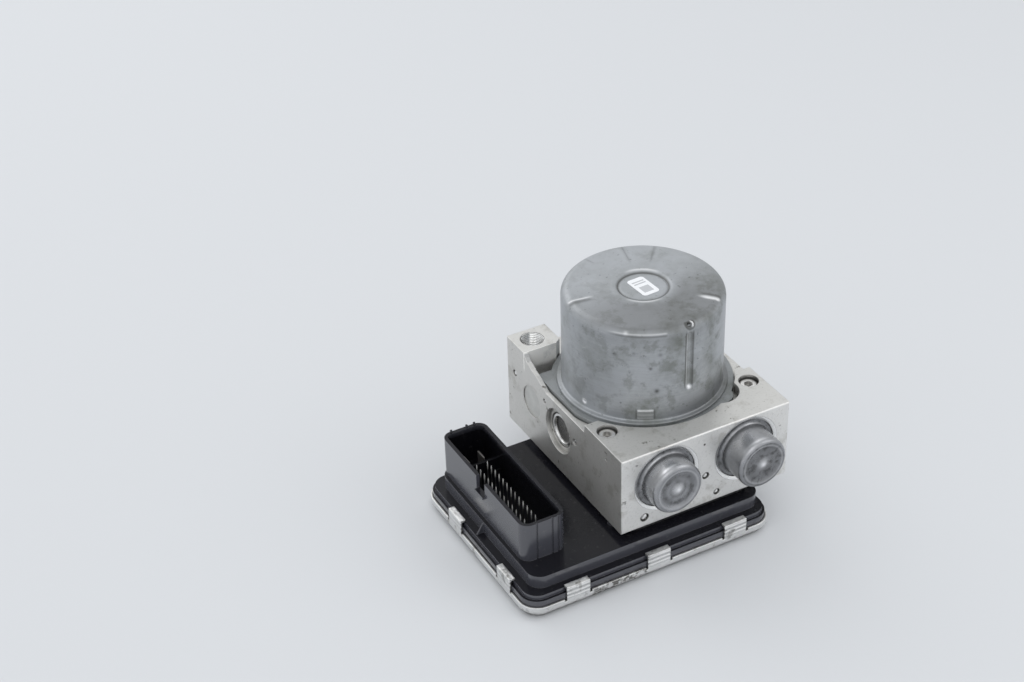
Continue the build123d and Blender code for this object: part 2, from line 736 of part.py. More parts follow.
# Motor: seal, flange with its bearing hub, and the drawn steel can
with BuildPart() as motor_seal:
    with BuildSketch(Plane.XY.offset(recess_floor)):
        with Locations((motor_x, motor_y)):
            Circle(hub_radius + seal_inner_gap + seal_width)
            Circle(hub_radius + seal_inner_gap, mode=Mode.SUBTRACT)
    extrude(amount=seal_thickness)
finish(motor_seal.part, "motor_seal")

with BuildPart() as motor_flange:
    with BuildSketch(Plane.XY.offset(flange_bottom)):
        seat_outline(flange_clearance)
        with Locations((lobe_x, lobe_y)):
            Circle(lobe_radius)
    extrude(amount=flange_thickness)
    disc(motor_x, motor_y, flange_bottom - hub_length, hub_radius, hub_length)
    disc(motor_x, motor_y, flange_bottom - hub_length, bearing_radius + bearing_fit, hub_length,
         Mode.SUBTRACT)
    disc(motor_x, motor_y, flange_bottom, commutator_radius + carrier_clearance, flange_thickness,
         Mode.SUBTRACT)
    disc(terminal_x, terminal_y, flange_bottom, terminal_hole_radius, flange_thickness, Mode.SUBTRACT)
finish(motor_flange.part, "motor_flange")

can_inner = can_radius - can_wall
with BuildPart() as motor_can:
    with BuildSketch(Plane((motor_x, motor_y, 0), x_dir=(1, 0, 0), z_dir=(0, -1, 0))):
        with BuildLine():
            c1 = Line((0, can_top - can_ring_depth),
                      (can_ring_radius - can_ring_width, can_top - can_ring_depth))
            c2 = Line(c1 @ 1, (can_ring_radius - can_ring_width / 2,
                               can_top - can_ring_depth - can_ring_groove))
            c3 = Line(c2 @ 1, (can_ring_radius, can_top - can_ring_depth))
            c4 = Line(c3 @ 1, (can_ring_radius + can_ring_depth, can_top))
            c5 = Line(c4 @ 1, (can_radius - can_shoulder, can_top))
            c6 = RadiusArc(c5 @ 1, (can_radius, can_top - can_shoulder), can_shoulder)
            c7 = Line(c6 @ 1, (can_radius, flange_top + can_bead_height + can_bead_rise))
            c8 = Line(c7 @ 1, (can_bead_radius, flange_top + can_bead_height))
            c9 = Line(c8 @ 1, (can_bead_radius, flange_top))
            c10 = Line(c9 @ 1, (can_inner, flange_top))
            c11 = Line(c10 @ 1, (can_inner, can_top - can_wall))
            c12 = Line(c11 @ 1, (bearing_radius + bearing_fit + can_wall, can_top - can_wall))
            c13 = Line(c12 @ 1, (bearing_radius + bearing_fit + can_wall, bearing_seat_top - bearing_width))
            c14 = Line(c13 @ 1, (bearing_radius + bearing_fit, bearing_seat_top - bearing_width))
            c15 = Line(c14 @ 1, (bearing_radius + bearing_fit, bearing_seat_top))
            c16 = Line(c15 @ 1, (0, bearing_seat_top))
            Line(c16 @ 1, c1 @ 0)
        make_face()
    revolve(axis=Axis((motor_x, motor_y, 0), (0, 0, 1)))
    # a pressed groove runs up the wall to the vent at the shoulder
    groove_plane = Plane((motor_x, motor_y, flange_top), x_dir=(0, 0, 1),
                         z_dir=(cos(radians(can_groove_angle)), sin(radians(can_groove_angle)), 0))
    with BuildSketch(groove_plane.offset(can_radius - can_groove_depth)) as groove:
        with Locations(((can_groove_bottom + can_groove_top) / 2, 0)):
            SlotOverall(can_groove_top - can_groove_bottom, can_groove_width)
    extrude(groove.sketch, amount=2 * can_groove_depth, mode=Mode.SUBTRACT)
    with BuildSketch(groove_plane.offset(can_inner)) as vent:
        with Locations((can_groove_top + can_vent_rise, 0)):
            Circle(can_vent_radius)
    extrude(vent.sketch, amount=2 * can_wall, mode=Mode.SUBTRACT)
    # a rectangular lance above the flange
    tab_plane = Plane((motor_x, motor_y, flange_top), x_dir=(0, 0, 1),
                      z_dir=(cos(radians(can_tab_angle)), sin(radians(can_tab_angle)), 0))
    with BuildSketch(tab_plane.offset(can_radius - can_tab_proud)) as tab:
        with Locations((can_bead_height + can_bead_rise + can_tab_height / 2, 0)):
            Rectangle(can_tab_height, can_tab_width)
    extrude(tab.sketch, amount=2 * can_tab_proud)
finish(motor_can.part, "motor_can")

with BuildPart() as magnets:
    for i in range(magnet_count):
        with BuildSketch(Plane.XY.offset(core_bottom)) as magnet:
            with BuildLine():
                start = 360 / magnet_count * i - magnet_angle / 2
                outer = CenterArc((motor_x, motor_y), can_inner, start, magnet_angle)
                inner = CenterArc((motor_x, motor_y), can_inner - magnet_thickness, start, magnet_angle)
                Line(outer @ 0, inner @ 0)
                Line(outer @ 1, inner @ 1)
            make_face()
        extrude(magnet.sketch, amount=core_length)
finish(magnets.part, "magnets")

# Rotor: shaft with its eccentric, slotted core, windings and commutator
with BuildPart() as motor_shaft:
    disc(motor_x, motor_y, shaft_bottom, shaft_radius, bearing_seat_top - bearing_end_gap - shaft_bottom)
    disc(motor_x + eccentric_offset, motor_y, pump_z - eccentric_bearing_width / 2, eccentric_radius,
         eccentric_bearing_width)
finish(motor_shaft.part, "motor_shaft")

with BuildPart() as eccentric_bearing:
    disc(motor_x + eccentric_offset, motor_y, pump_z - eccentric_bearing_width / 2, eccentric_bearing_radius,
         eccentric_bearing_width)
    disc(motor_x + eccentric_offset, motor_y, pump_z - eccentric_bearing_width / 2,
         eccentric_radius + bearing_fit, eccentric_bearing_width, Mode.SUBTRACT)
finish(eccentric_bearing.part, "eccentric_bearing")

for seat_z, name in ((flange_bottom - hub_length, "lower_bearing"),
                     (bearing_seat_top - bearing_width, "upper_bearing")):
    with BuildPart() as bearing:
        disc(motor_x, motor_y, seat_z, bearing_radius, bearing_width)
        disc(motor_x, motor_y, seat_z, shaft_radius + bearing_fit, bearing_width, Mode.SUBTRACT)
    finish(bearing.part, name)

with BuildPart() as armature_core:
    disc(motor_x, motor_y, core_bottom, core_radius, core_length)
    disc(motor_x, motor_y, core_bottom, shaft_radius, core_length, Mode.SUBTRACT)
    with BuildSketch(Plane.XY.offset(core_bottom)) as slots:
        with Locations((motor_x, motor_y)):
            with PolarLocations(core_radius - core_slot_depth / 2, core_slots):
                Rectangle(core_slot_depth + 1, core_slot_width)
    extrude(slots.sketch, amount=core_length, mode=Mode.SUBTRACT)
finish(armature_core.part, "armature_core")

with BuildPart() as armature_windings:
    for z in (core_bottom - winding_overhang, core_bottom + core_length):
        disc(motor_x, motor_y, z, core_radius - winding_outer_gap, winding_overhang)
        disc(motor_x, motor_y, z, winding_inner_radius, winding_overhang, Mode.SUBTRACT)
    with BuildSketch(Plane.XY.offset(core_bottom)) as bars:
        with Locations((motor_x, motor_y)):
            with PolarLocations(core_radius - winding_outer_gap - winding_bar_depth / 2, core_slots):
                Rectangle(winding_bar_depth, core_slot_width - core_slot_clearance)
    extrude(bars.sketch, amount=core_length)
finish(armature_windings.part, "armature_windings")

with BuildPart() as commutator:
    disc(motor_x, motor_y, flange_top + commutator_from_flange, commutator_radius, commutator_length)
    disc(motor_x, motor_y, flange_top + commutator_from_flange, shaft_radius, commutator_length,
         Mode.SUBTRACT)
    with BuildSketch(Plane.XY.offset(flange_top + commutator_from_flange)) as slits:
        with Locations((motor_x, motor_y)):
            with PolarLocations(commutator_radius, commutator_bars):
                Rectangle(2 * commutator_slit, commutator_slit)
    extrude(slits.sketch, amount=commutator_length, mode=Mode.SUBTRACT)
finish(commutator.part, "commutator")

# Brush gear: a moulded plate with four holders, each with a brush and its spring
brush_z = flange_top + commutator_from_flange + commutator_length / 2
brush_start = commutator_radius + brush_gap
holder_start = brush_start + carrier_clearance
holder_end = brush_start + brush_length + brush_spring_length
holder_width = brush_width + 2 * (holder_wall + brush_fit)
with BuildPart() as brush_carrier:
    disc(motor_x, motor_y, flange_top, can_inner - carrier_clearance, carrier_thickness)
    with BuildSketch(Plane.XY.offset(flange_top + carrier_thickness)) as holders:
        with Locations((motor_x, motor_y)):
            with PolarLocations((holder_start + holder_end + holder_wall) / 2, brush_count):
                Rectangle(holder_end + holder_wall - holder_start, holder_width)
    extrude(holders.sketch, amount=brush_z + brush_height / 2 + holder_wall - flange_top - carrier_thickness)
    with BuildSketch(Plane.XY.offset(brush_z - brush_height / 2 - brush_fit)) as channels:
        with Locations((motor_x, motor_y)):
            with PolarLocations((brush_start + holder_end) / 2, brush_count):
                Rectangle(holder_end - brush_start, brush_width + 2 * brush_fit)
    extrude(channels.sketch, amount=brush_height + 2 * brush_fit, mode=Mode.SUBTRACT)
    disc(motor_x, motor_y, flange_top, commutator_radius + carrier_clearance, carrier_thickness,
         Mode.SUBTRACT)
    for offset in (-1, 1):
        box_between(*terminal_span(offset), flange_top, flange_top + carrier_thickness, Mode.SUBTRACT)
finish(brush_carrier.part, "brush_carrier")

with BuildPart() as brushes:
    with BuildSketch(Plane.XY.offset(brush_z - brush_height / 2)) as brush:
        with Locations((motor_x, motor_y)):
            with PolarLocations(brush_start + brush_length / 2, brush_count):
                Rectangle(brush_length, brush_width)
    extrude(brush.sketch, amount=brush_height)
finish(brushes.part, "brushes")

with BuildPart() as brush_springs:
    for i in range(brush_count):
        angle = radians(360 / brush_count * i)
        direction = (cos(angle), sin(angle), 0)
        reach = brush_start + brush_length
        with BuildSketch(Plane((motor_x + reach * cos(angle), motor_y + reach * sin(angle), brush_z),
                               x_dir=(0, 0, 1), z_dir=direction)) as coil_end:
            Circle(brush_spring_radius)
        extrude(coil_end.sketch, amount=brush_spring_length)
finish(brush_springs.part, "brush_springs")

with BuildPart() as motor_terminals:
    for offset in (-1, 1):
        box_between(*terminal_span(offset), board_top, flange_top + carrier_thickness)
finish(motor_terminals.part, "motor_terminals")

with BuildPart() as motor_label:
    with BuildSketch(Plane.XY.offset(can_top - can_ring_depth)):
        with Locations(Location((motor_x, motor_y), label_turn)):
            RectangleRounded(label_width, label_depth, label_corner)
    extrude(amount=label_thickness)
finish(motor_label.part, "motor_label")

# Control unit: stamped cover with bent tabs
with BuildPart() as ecu_cover:
    rounded_box(cover_left + cover_joggle, cover_right - cover_joggle, cover_front + cover_joggle,
                cover_back - cover_joggle, 0, cover_height - cover_skirt, cover_corner - cover_joggle)
    fillet(ecu_cover.edges().group_by(Axis.Z)[0], cover_bottom_round)
    rounded_box(cover_left, cover_right, cover_front, cover_back, cover_height - cover_skirt, cover_height,
                cover_corner)
    rounded_box(cover_left + cover_joggle + cover_wall, cover_right - cover_joggle - cover_wall,
                cover_front + cover_joggle + cover_wall, cover_back - cover_joggle - cover_wall, cover_wall,
                cover_height, cover_corner - cover_joggle - cover_wall, Mode.SUBTRACT)
    rounded_box(cover_left + cover_wall, cover_right - cover_wall, cover_front + cover_wall,
                cover_back - cover_wall, cover_height - cover_skirt + cover_wall, cover_height,
                cover_corner - cover_wall, Mode.SUBTRACT)
    # standoffs carry the circuit board
    for x, y in post_places:
        disc(x, y, cover_wall, post_radius, board_standoff)
    # each tab stands up from the skirt, with a relief notch on both sides, and is bent over the rim
    for along in tabs_front_from_left:
        x = cover_left + along
        for edge, inwards in ((cover_front, 1), (cover_back, -1)):
            y0, y1 = sorted((edge, edge + inwards * cover_wall))
            box_between(x - tab_width / 2 - tab_notch, x + tab_width / 2 + tab_notch, y0, y1,
                        cover_height - tab_notch, cover_height, Mode.SUBTRACT)
            box_between(x - tab_width / 2, x + tab_width / 2, y0, y1, cover_height - tab_notch,
                        rim_top + cover_wall)
            y0, y1 = sorted((edge, edge + inwards * tab_overlap))
            box_between(x - tab_width / 2, x + tab_width / 2, y0, y1, rim_top, rim_top + cover_wall)
    for along in tabs_left_from_front:
        y = cover_front + along
        for edge, inwards in ((cover_left, 1), (cover_right, -1)):
            x0, x1 = sorted((edge, edge + inwards * cover_wall))
            box_between(x0, x1, y - tab_width / 2 - tab_notch, y + tab_width / 2 + tab_notch,
                        cover_height - tab_notch, cover_height, Mode.SUBTRACT)
            box_between(x0, x1, y - tab_width / 2, y + tab_width / 2, cover_height - tab_notch,
                        rim_top + cover_wall)
            x0, x1 = sorted((edge, edge + inwards * tab_overlap))
            box_between(x0, x1, y - tab_width / 2, y + tab_width / 2, rim_top, rim_top + cover_wall)
finish(ecu_cover.part, "ecu_cover")

# the sealing ring lies on the cover's ledge, under the housing's rim
with BuildPart() as cover_seal:
    ledge = cover_height - cover_skirt + cover_wall
    rounded_box(cover_left + cover_wall, cover_right - cover_wall, cover_front + cover_wall,
                cover_back - cover_wall, ledge, rim_bottom, cover_corner - cover_wall)
    rounded_box(cover_left + cover_joggle + cover_wall, cover_right - cover_joggle - cover_wall,
                cover_front + cover_joggle + cover_wall, cover_back - cover_joggle - cover_wall, ledge,
                rim_bottom, cover_corner - cover_joggle - cover_wall, Mode.SUBTRACT)
finish(cover_seal.part, "cover_seal")

# Plastic housing: rim, body and connector shroud in one moulding
with BuildPart() as ecu_housing:
    for inset, z in ((rim_inset, rim_top - rim_step_height), (rim_inset + rim_step, rim_top)):
        rounded_box(cover_left + inset, cover_right - inset, cover_front + inset, cover_back - inset,
                    rim_bottom, z, cover_corner - inset)
    rounded_box(body_left, body_right, body_front, body_back, rim_top, body_top, housing_corner)
    rounded_box(shroud_left, shroud_right, shroud_front, shroud_back, body_top, shroud_top, shroud_corner)
    rounded_box(body_left + housing_wall, body_right - housing_wall, body_front + housing_wall,
                body_back - housing_wall, rim_bottom, body_top - housing_roof, housing_corner - housing_wall,
                Mode.SUBTRACT)
    rounded_box(shroud_left + shroud_wall, shroud_right - shroud_wall, shroud_front + shroud_wall,
                shroud_back - shroud_wall, socket_floor, shroud_top, shroud_corner - shroud_wall,
                Mode.SUBTRACT)
    # a low wall parts the signal pins from the power blades, and a keyway is cut in the outer wall
    box_between(shroud_left + shroud_wall, shroud_right - shroud_wall, divider_y - divider_thickness / 2,
                divider_y + divider_thickness / 2, socket_floor, socket_floor + shroud_divider_height)
    box_between(shroud_left, shroud_left + shroud_wall, key_y - key_width / 2, key_y + key_width / 2,
                shroud_top - key_depth, shroud_top, Mode.SUBTRACT)
    box_between(shroud_left - key_ledge, shroud_left, key_y - key_width / 2, key_y + key_width / 2,
                shroud_top - key_depth - key_ledge, shroud_top - key_depth)
    # small nubs on the rear rim, and shallow panel grooves down the front end wall
    for from_left in rim_nubs_from_left:
        nub_x = shroud_left + from_left
        box_between(nub_x - rim_nub / 2, nub_x + rim_nub / 2, shroud_back - shroud_wall / 2, shroud_back,
                    shroud_top, shroud_top + rim_nub)
    for from_left in end_grooves_from_left:
        groove_x = shroud_left + from_left
        box_between(groove_x - end_groove_width / 2, groove_x + end_groove_width / 2, shroud_front,
                    shroud_front + end_groove_depth, body_top, shroud_top, Mode.SUBTRACT)
    # slots for the pins
    for x, y in pin_places:
        box_between(x - pin_size / 2, x + pin_size / 2, y - pin_size / 2, y + pin_size / 2,
                    body_top - housing_roof, socket_floor, Mode.SUBTRACT)
    for x, y in blade_places:
        box_between(x - blade_thickness / 2, x + blade_thickness / 2, y - blade_width / 2,
                    y + blade_width / 2, body_top - housing_roof, socket_floor, Mode.SUBTRACT)
    # bosses that meet the block: four for the screws, one that locates
    for x, y in ecu_screw_places:
        disc(x, y, body_top, ecu_screw_boss_radius, housing_gap)
        disc(x, y, body_top - housing_roof, ecu_screw_radius + screw_fit, housing_roof + housing_gap,
             Mode.SUBTRACT)
    disc(block_left + boss_from_left, block_front + boss_from_front, body_top, boss_radius, housing_gap)
    # ways through the roof for valve stems, sensor and motor leads
    for x, y in inlet_places + outlet_places + [(sensor_x, sensor_y)]:
        disc(x, y, body_top - housing_roof, valve_stem_radius + coil_clearance, housing_roof, Mode.SUBTRACT)
    disc(terminal_x, terminal_y, body_top - housing_roof, terminal_hole_radius, housing_roof, Mode.SUBTRACT)
    # posts that press the circuit board down
    for x, y in post_places:
        disc(x, y, board_top, post_radius, body_top - housing_roof - board_top)
    # a thin gusset stiffens the body against the rim
    gusset_plane = Plane((0, cover_front + gusset_from_front, 0), x_dir=(1, 0, 0), z_dir=(0, -1, 0))
    with BuildSketch(gusset_plane) as gusset:
        with BuildLine():
            Polyline((body_left, rim_top), (body_left, body_top - gusset_drop),
                     (cover_left + tab_overlap, rim_top), (body_left, rim_top))
        make_face()
    extrude(gusset.sketch, amount=gusset_thickness)
finish(ecu_housing.part, "ecu_housing")

with BuildPart() as block_seal:
    rounded_box(*gasket_span(0), body_top, block_bottom, gasket_corner)
    rounded_box(*gasket_span(gasket_width), body_top, block_bottom, gasket_corner - gasket_width + 1,
                Mode.SUBTRACT)
finish(block_seal.part, "block_seal")

with BuildPart() as ecu_screws:
    for x, y in ecu_screw_places:
        disc(x, y, body_top - housing_roof, ecu_screw_radius, housing_roof + housing_gap + ecu_screw_depth)
        disc(x, y, body_top - housing_roof - ecu_screw_head_height, ecu_screw_head_radius,
             ecu_screw_head_height)
finish(ecu_screws.part, "ecu_screws")

# Circuit board, what stands on it, and the valve coils
with BuildPart() as circuit_board:
    rounded_box(board_left, board_right, board_front, board_back, board_bottom, board_top, board_corner)
finish(circuit_board.part, "circuit_board")

with BuildPart() as board_components:
    for x, y, width, depth in chips:
        box_between(x - width / 2, x + width / 2, y - depth / 2, y + depth / 2, board_top,
                    board_top + chip_height)
    for x, y in capacitors:
        disc(x, y, board_top, capacitor_radius, capacitor_height)
finish(board_components.part, "board_components")

with BuildPart() as valve_coils:
    for x, y in inlet_places + outlet_places:
        disc(x, y, coil_bottom, coil_radius, coil_height)
        disc(x, y, coil_bottom, valve_stem_radius + coil_clearance, coil_height, Mode.SUBTRACT)
        for lead in (-1, 1):
            disc(x + lead * (coil_radius - coil_lead_inset), y, board_top, coil_lead_radius,
                 coil_bottom - board_top)
finish(valve_coils.part, "valve_coils")

with BuildPart() as signal_pins:
    for x, y in pin_places:
        box_between(x - pin_size / 2, x + pin_size / 2, y - pin_size / 2, y + pin_size / 2, board_top,
                    socket_floor + pin_height)
finish(signal_pins.part, "signal_pins")

with BuildPart() as power_blades:
    for x, y in blade_places:
        box_between(x - blade_thickness / 2, x + blade_thickness / 2, y - blade_width / 2,
                    y + blade_width / 2, board_top, socket_floor + blade_height)
finish(power_blades.part, "power_blades")
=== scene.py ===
"""Looks of an anti-lock brake module: cast and machined metal, glossy plastic, a drawn motor can."""
import json
from math import cos, pi, radians, sin

import bmesh
import bpy
import numpy as np
from bpy.props import FloatProperty, FloatVectorProperty, IntProperty, PointerProperty
from mathutils import Matrix, Vector


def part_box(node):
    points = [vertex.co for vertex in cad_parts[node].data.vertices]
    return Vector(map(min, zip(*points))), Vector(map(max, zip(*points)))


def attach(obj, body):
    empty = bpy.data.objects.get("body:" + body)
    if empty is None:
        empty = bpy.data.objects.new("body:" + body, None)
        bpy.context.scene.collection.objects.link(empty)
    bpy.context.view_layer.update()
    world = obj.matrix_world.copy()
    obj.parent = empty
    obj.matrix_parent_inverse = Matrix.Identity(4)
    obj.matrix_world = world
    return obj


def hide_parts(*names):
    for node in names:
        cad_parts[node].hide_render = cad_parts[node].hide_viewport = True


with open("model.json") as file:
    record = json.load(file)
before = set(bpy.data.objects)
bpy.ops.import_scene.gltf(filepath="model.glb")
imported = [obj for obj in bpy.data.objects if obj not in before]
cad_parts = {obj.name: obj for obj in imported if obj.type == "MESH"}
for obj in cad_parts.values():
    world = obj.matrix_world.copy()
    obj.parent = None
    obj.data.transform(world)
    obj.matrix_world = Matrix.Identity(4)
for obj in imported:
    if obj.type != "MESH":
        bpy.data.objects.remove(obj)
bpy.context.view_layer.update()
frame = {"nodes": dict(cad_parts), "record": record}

bl_info = {
    "name": "Brake module",
    "version": (1, 0, 0),
    "blender": (4, 5, 0),
    "location": "View3D > Sidebar > Brake module",
    "description": "Dresses the packed brake module and lights it",
    "category": "Add Mesh",
}

MM = 0.001
NODES = frame["nodes"]


def middle(node):
    """The middle of a node's box."""
    low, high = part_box(node)
    return (low + high) / 2


BLOCK_LOW, BLOCK_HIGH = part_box("valve_block")
CAN_LOW, CAN_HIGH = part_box("motor_can")
CUP_LOW, CUP_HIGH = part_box("accumulator_cap_left")
COVER_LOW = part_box("ecu_cover")[0]
HOUSING_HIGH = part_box("ecu_housing")[1]
CAN_X = (CAN_LOW.x + CAN_HIGH.x) / 2
CAN_Y = (CAN_LOW.y + CAN_HIGH.y) / 2
# radius of the walls: the can's stands this far inside its bead, and a cup's inside its lip
CAN_WALL = (CAN_HIGH.x - CAN_LOW.x) / 2 - 2.3 * MM
CUP_WALL = (CUP_HIGH.x - CUP_LOW.x) / 2 - 2.5 * MM
# the middle of the tall socket, and half its inside
SOCKET_X, SOCKET_Y = -53.0 * MM, 3.0 * MM
SOCKET_HALF_X, SOCKET_HALF_Y = 9.65 * MM, 38.9 * MM


# Sizes and colours that a user would change


def colour_setting(name, description, default):
    """A colour in the panel."""
    return FloatVectorProperty(name=name, description=description, default=default, size=3, subtype="COLOR")


def angle_setting(name, description, degrees):
    """An angle in the panel."""
    return FloatProperty(name=name, description=description, default=radians(degrees), subtype="ANGLE")


def length_setting(name, description, default):
    """A length in the panel."""
    return FloatProperty(name=name, description=description, default=default, unit="LENGTH")


class StageSettings(bpy.types.PropertyGroup):
    azimuth: angle_setting("Azimuth", "Which way round the camera stands", -27.72)
    elevation: angle_setting("Elevation", "How far the camera looks down", 34.18)
    roll: angle_setting("Roll", "The camera's tilt about its own line of sight", -1.81)
    place: FloatVectorProperty(name="Camera place", description="Where the camera stands",
                               default=(-0.3840, -0.6409, 0.6043), subtype="TRANSLATION", unit="LENGTH")
    lens: FloatProperty(name="Lens", description="Focal length in millimetres", default=69.41)
    floor_colour: colour_setting("Floor", "Colour of the pale floor", (0.575, 0.587, 0.605))
    sky_strength: FloatProperty(name="Sky", description="Strength of the even light", default=0.98)


class CanSettings(bpy.types.PropertyGroup):
    shoulder: length_setting("Shoulder", "Radius of the rounded top edge", 4.2 * MM)
    ring_radius: length_setting("Ring radius", "Groove round the bearing seat", 12.0 * MM)
    colour: colour_setting("Can", "Plated steel of the can", (0.37, 0.385, 0.405))
    stain: colour_setting("Can stain", "Dull stains on the can", (0.17, 0.18, 0.165))
    steps_round: IntProperty(name="Steps round", description="Faces round the can", default=480)


class CupSettings(bpy.types.PropertyGroup):
    colour: colour_setting("Cups", "Drawn steel of the accumulator cups", (0.36, 0.365, 0.38))
    steps_round: IntProperty(name="Steps round", description="Faces round a cup", default=128)


class BlockSettings(bpy.types.PropertyGroup):
    colour: colour_setting("Block", "Machined aluminium", (0.78, 0.775, 0.76))
    dirt: colour_setting("Dirt", "Grime in the block's corners", (0.09, 0.085, 0.07))


class UnitSettings(bpy.types.PropertyGroup):
    plastic: colour_setting("Housing", "Black moulded plastic", (0.009, 0.009, 0.012))
    # painted light: the moulding's upright walls are painted paler than the rest
    wall: colour_setting("Housing walls", "The moulding's upright walls", (0.05, 0.051, 0.062))
    metal: colour_setting("Cover", "Stamped sheet metal", (0.74, 0.74, 0.73))


# Meshes from grids of points


def placed(name, mesh):
    """A new object with that mesh."""
    piece = bpy.data.objects.new(name, mesh)
    bpy.context.scene.collection.objects.link(piece)
    return piece


def cells(index):
    """The four corners of each cell in a grid of point numbers."""
    return np.stack([index[:-1, :-1], index[1:, :-1], index[1:, 1:], index[:-1, 1:]], axis=-1)


def lathe(name, points, dirt_and_painted_shade=None, painted_highlight=None, ring=False):
    """A closed turned mesh over rows of points round an axis.

    Each pole is one point. In a ring there are none, and the last row joins the first.
    Dirt with painted shade, and painted highlights, are values for each point, which the finishes read.
    """
    rows, columns = points.shape[:2]
    kept = np.ones((rows, columns), bool)
    if not ring:
        kept[0, 1:] = False
        kept[-1, 1:] = False
    index = (np.cumsum(kept) - 1).reshape(rows, columns)
    if ring:
        index = np.concatenate([index, index[:1]], axis=0)
    quads = cells(np.concatenate([index, index[:, :1]], axis=1))
    if ring:
        faces = quads.reshape(-1, 4).tolist()
    else:
        faces = quads[0][:, :3].tolist()
        faces += quads[1:-1].reshape(-1, 4).tolist()
        faces += quads[-1][:, [0, 1, 3]].tolist()
    mesh = bpy.data.meshes.new(name)
    mesh.from_pydata(points[kept].tolist(), [], faces)
    mesh.polygons.foreach_set("use_smooth", np.full(len(mesh.polygons), True))
    mesh.set_sharp_from_angle(angle=radians(38))
    for label, values in (("dirt_and_painted_shade", dirt_and_painted_shade), ("painted_highlight", painted_highlight)):
        if values is not None:
            layer = mesh.attributes.new(label, "FLOAT", "POINT")
            layer.data.foreach_set("value", np.ascontiguousarray(values[kept], dtype=np.float32))
    mesh.update()
    return placed(name, mesh)


def turn_outward(piece):
    """Faces of a closed mesh point out."""
    shape = bmesh.new()
    shape.from_mesh(piece.data)
    bmesh.ops.recalc_face_normals(shape, faces=shape.faces)
    shape.to_mesh(piece.data)
    shape.free()


def joined(name, pieces):
    """One object made of several."""
    with bpy.context.temp_override(active_object=pieces[0], selected_editable_objects=pieces):
        bpy.ops.object.join()
    pieces[0].name = name
    pieces[0].data.name = name
    return pieces[0]


def full_turn(count):
    """Angles all the way round."""
    return np.linspace(0, 2 * pi, count, endpoint=False)


def arc(centre, radius, start, end, count):
    """Points on an arc, angles in degrees."""
    turn = np.radians(np.linspace(start, end, count))
    return [(centre[0] + radius * c, centre[1] + radius * s) for c, s in zip(np.cos(turn), np.sin(turn))]


def turned(angle, degrees):
    """How far an angle lies from one given in degrees, between -pi and pi."""
    return (angle - radians(degrees) + pi) % (2 * pi) - pi


def smooth_step(x, low, high):
    """0 below low, 1 above high, an S-curve between."""
    t = np.clip((x - low) / (high - low), 0, 1)
    return t * t * (3 - 2 * t)


def fade(x, low, high):
    """1 below low, 0 above high, an S-curve between."""
    return 1 - smooth_step(x, low, high)


def bump(x, width):
    """A bell curve of that half width."""
    return np.exp(-(x / width) ** 2)


def ramp_edge(x, width):
    """A soft edge seen from both sides: raised on one side of x = 0, sunk on the other."""
    return x / width * np.exp(0.5 - 0.5 * (x / width) ** 2)


def show(piece, body, material, slot, *nodes):
    """Puts a finished piece on its body and gives it its material."""
    piece.data.materials.clear()
    piece.data.materials.append(material)
    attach(piece, body)
    if nodes:
        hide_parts(*nodes)


# Shader groups that several finishes share


def put(tree, socket, value):
    """Links a socket or sets a value. A colour gets full alpha."""
    if isinstance(value, bpy.types.NodeSocket):
        tree.links.new(value, socket)
    elif socket.type == "RGBA":
        socket.default_value = (*value[:3], 1.0)
    else:
        socket.default_value = value


def add(tree, kind, inputs=(), **properties):
    """The outputs of a new node. Its inputs are given by name or number, each a value or a socket."""
    node = tree.nodes.new(kind)
    for key, value in properties.items():
        setattr(node, key, value)
    for key, value in dict(inputs).items():
        put(tree, node.inputs[key], value)
    return node.outputs


def own_place(tree):
    """Object coordinates."""
    return add(tree, "ShaderNodeTexCoord")["Object"]


def group(name, **inputs):
    """A new shader group whose inputs have these defaults, and the sockets they come in by."""
    tree = bpy.data.node_groups.new(name, "ShaderNodeTree")
    for label, default in inputs.items():
        kind = "NodeSocketVector" if isinstance(default, tuple) else "NodeSocketFloat"
        tree.interface.new_socket(label, in_out="INPUT", socket_type=kind).default_value = default
    return tree, add(tree, "NodeGroupInput")


def ended(tree, **outputs):
    """A shader group whose outputs come from these sockets."""
    for label, source in outputs.items():
        kind = "NodeSocketVector" if source.type == "VECTOR" else "NodeSocketFloat"
        tree.interface.new_socket(label, in_out="OUTPUT", socket_type=kind)
    add(tree, "NodeGroupOutput", outputs)
    return tree


def patches_group():
    """Soft-edged patches: noise cut at a level, and the uncut noise as a cloud."""
    tree, given = group("Patches", Size=60.0, Level=0.5, Softness=0.12, Place=(0.0, 0.0, 0.0))
    moved = add(tree, "ShaderNodeVectorMath", {0: own_place(tree), 1: given["Place"]}, operation="ADD")
    cloud = add(tree, "ShaderNodeTexNoise",
                {"Vector": moved[0], "Scale": given["Size"], "Detail": 6.0, "Roughness": 0.62})["Fac"]
    ends = {0: given["Level"], 1: given["Softness"]}
    low = add(tree, "ShaderNodeMath", ends, operation="SUBTRACT")
    high = add(tree, "ShaderNodeMath", ends, operation="ADD")
    mask = add(tree, "ShaderNodeMapRange", {"Value": cloud, "From Min": low[0], "From Max": high[0]},
               interpolation_type="SMOOTHSTEP")
    return ended(tree, Mask=mask["Result"], Cloud=cloud)


def grain_group():
    """Fine lines along one direction: noise on coordinates that are squeezed across it."""
    tree, given = group("Grain", Squeeze=(900.0, 60.0, 60.0), Detail=3.0)
    squeezed = add(tree, "ShaderNodeVectorMath", {0: own_place(tree), 1: given["Squeeze"]},
                   operation="MULTIPLY")
    lines = add(tree, "ShaderNodeTexNoise",
                {"Vector": squeezed[0], "Scale": 1.0, "Detail": given["Detail"], "Roughness": 0.6})
    return ended(tree, Lines=lines["Fac"])


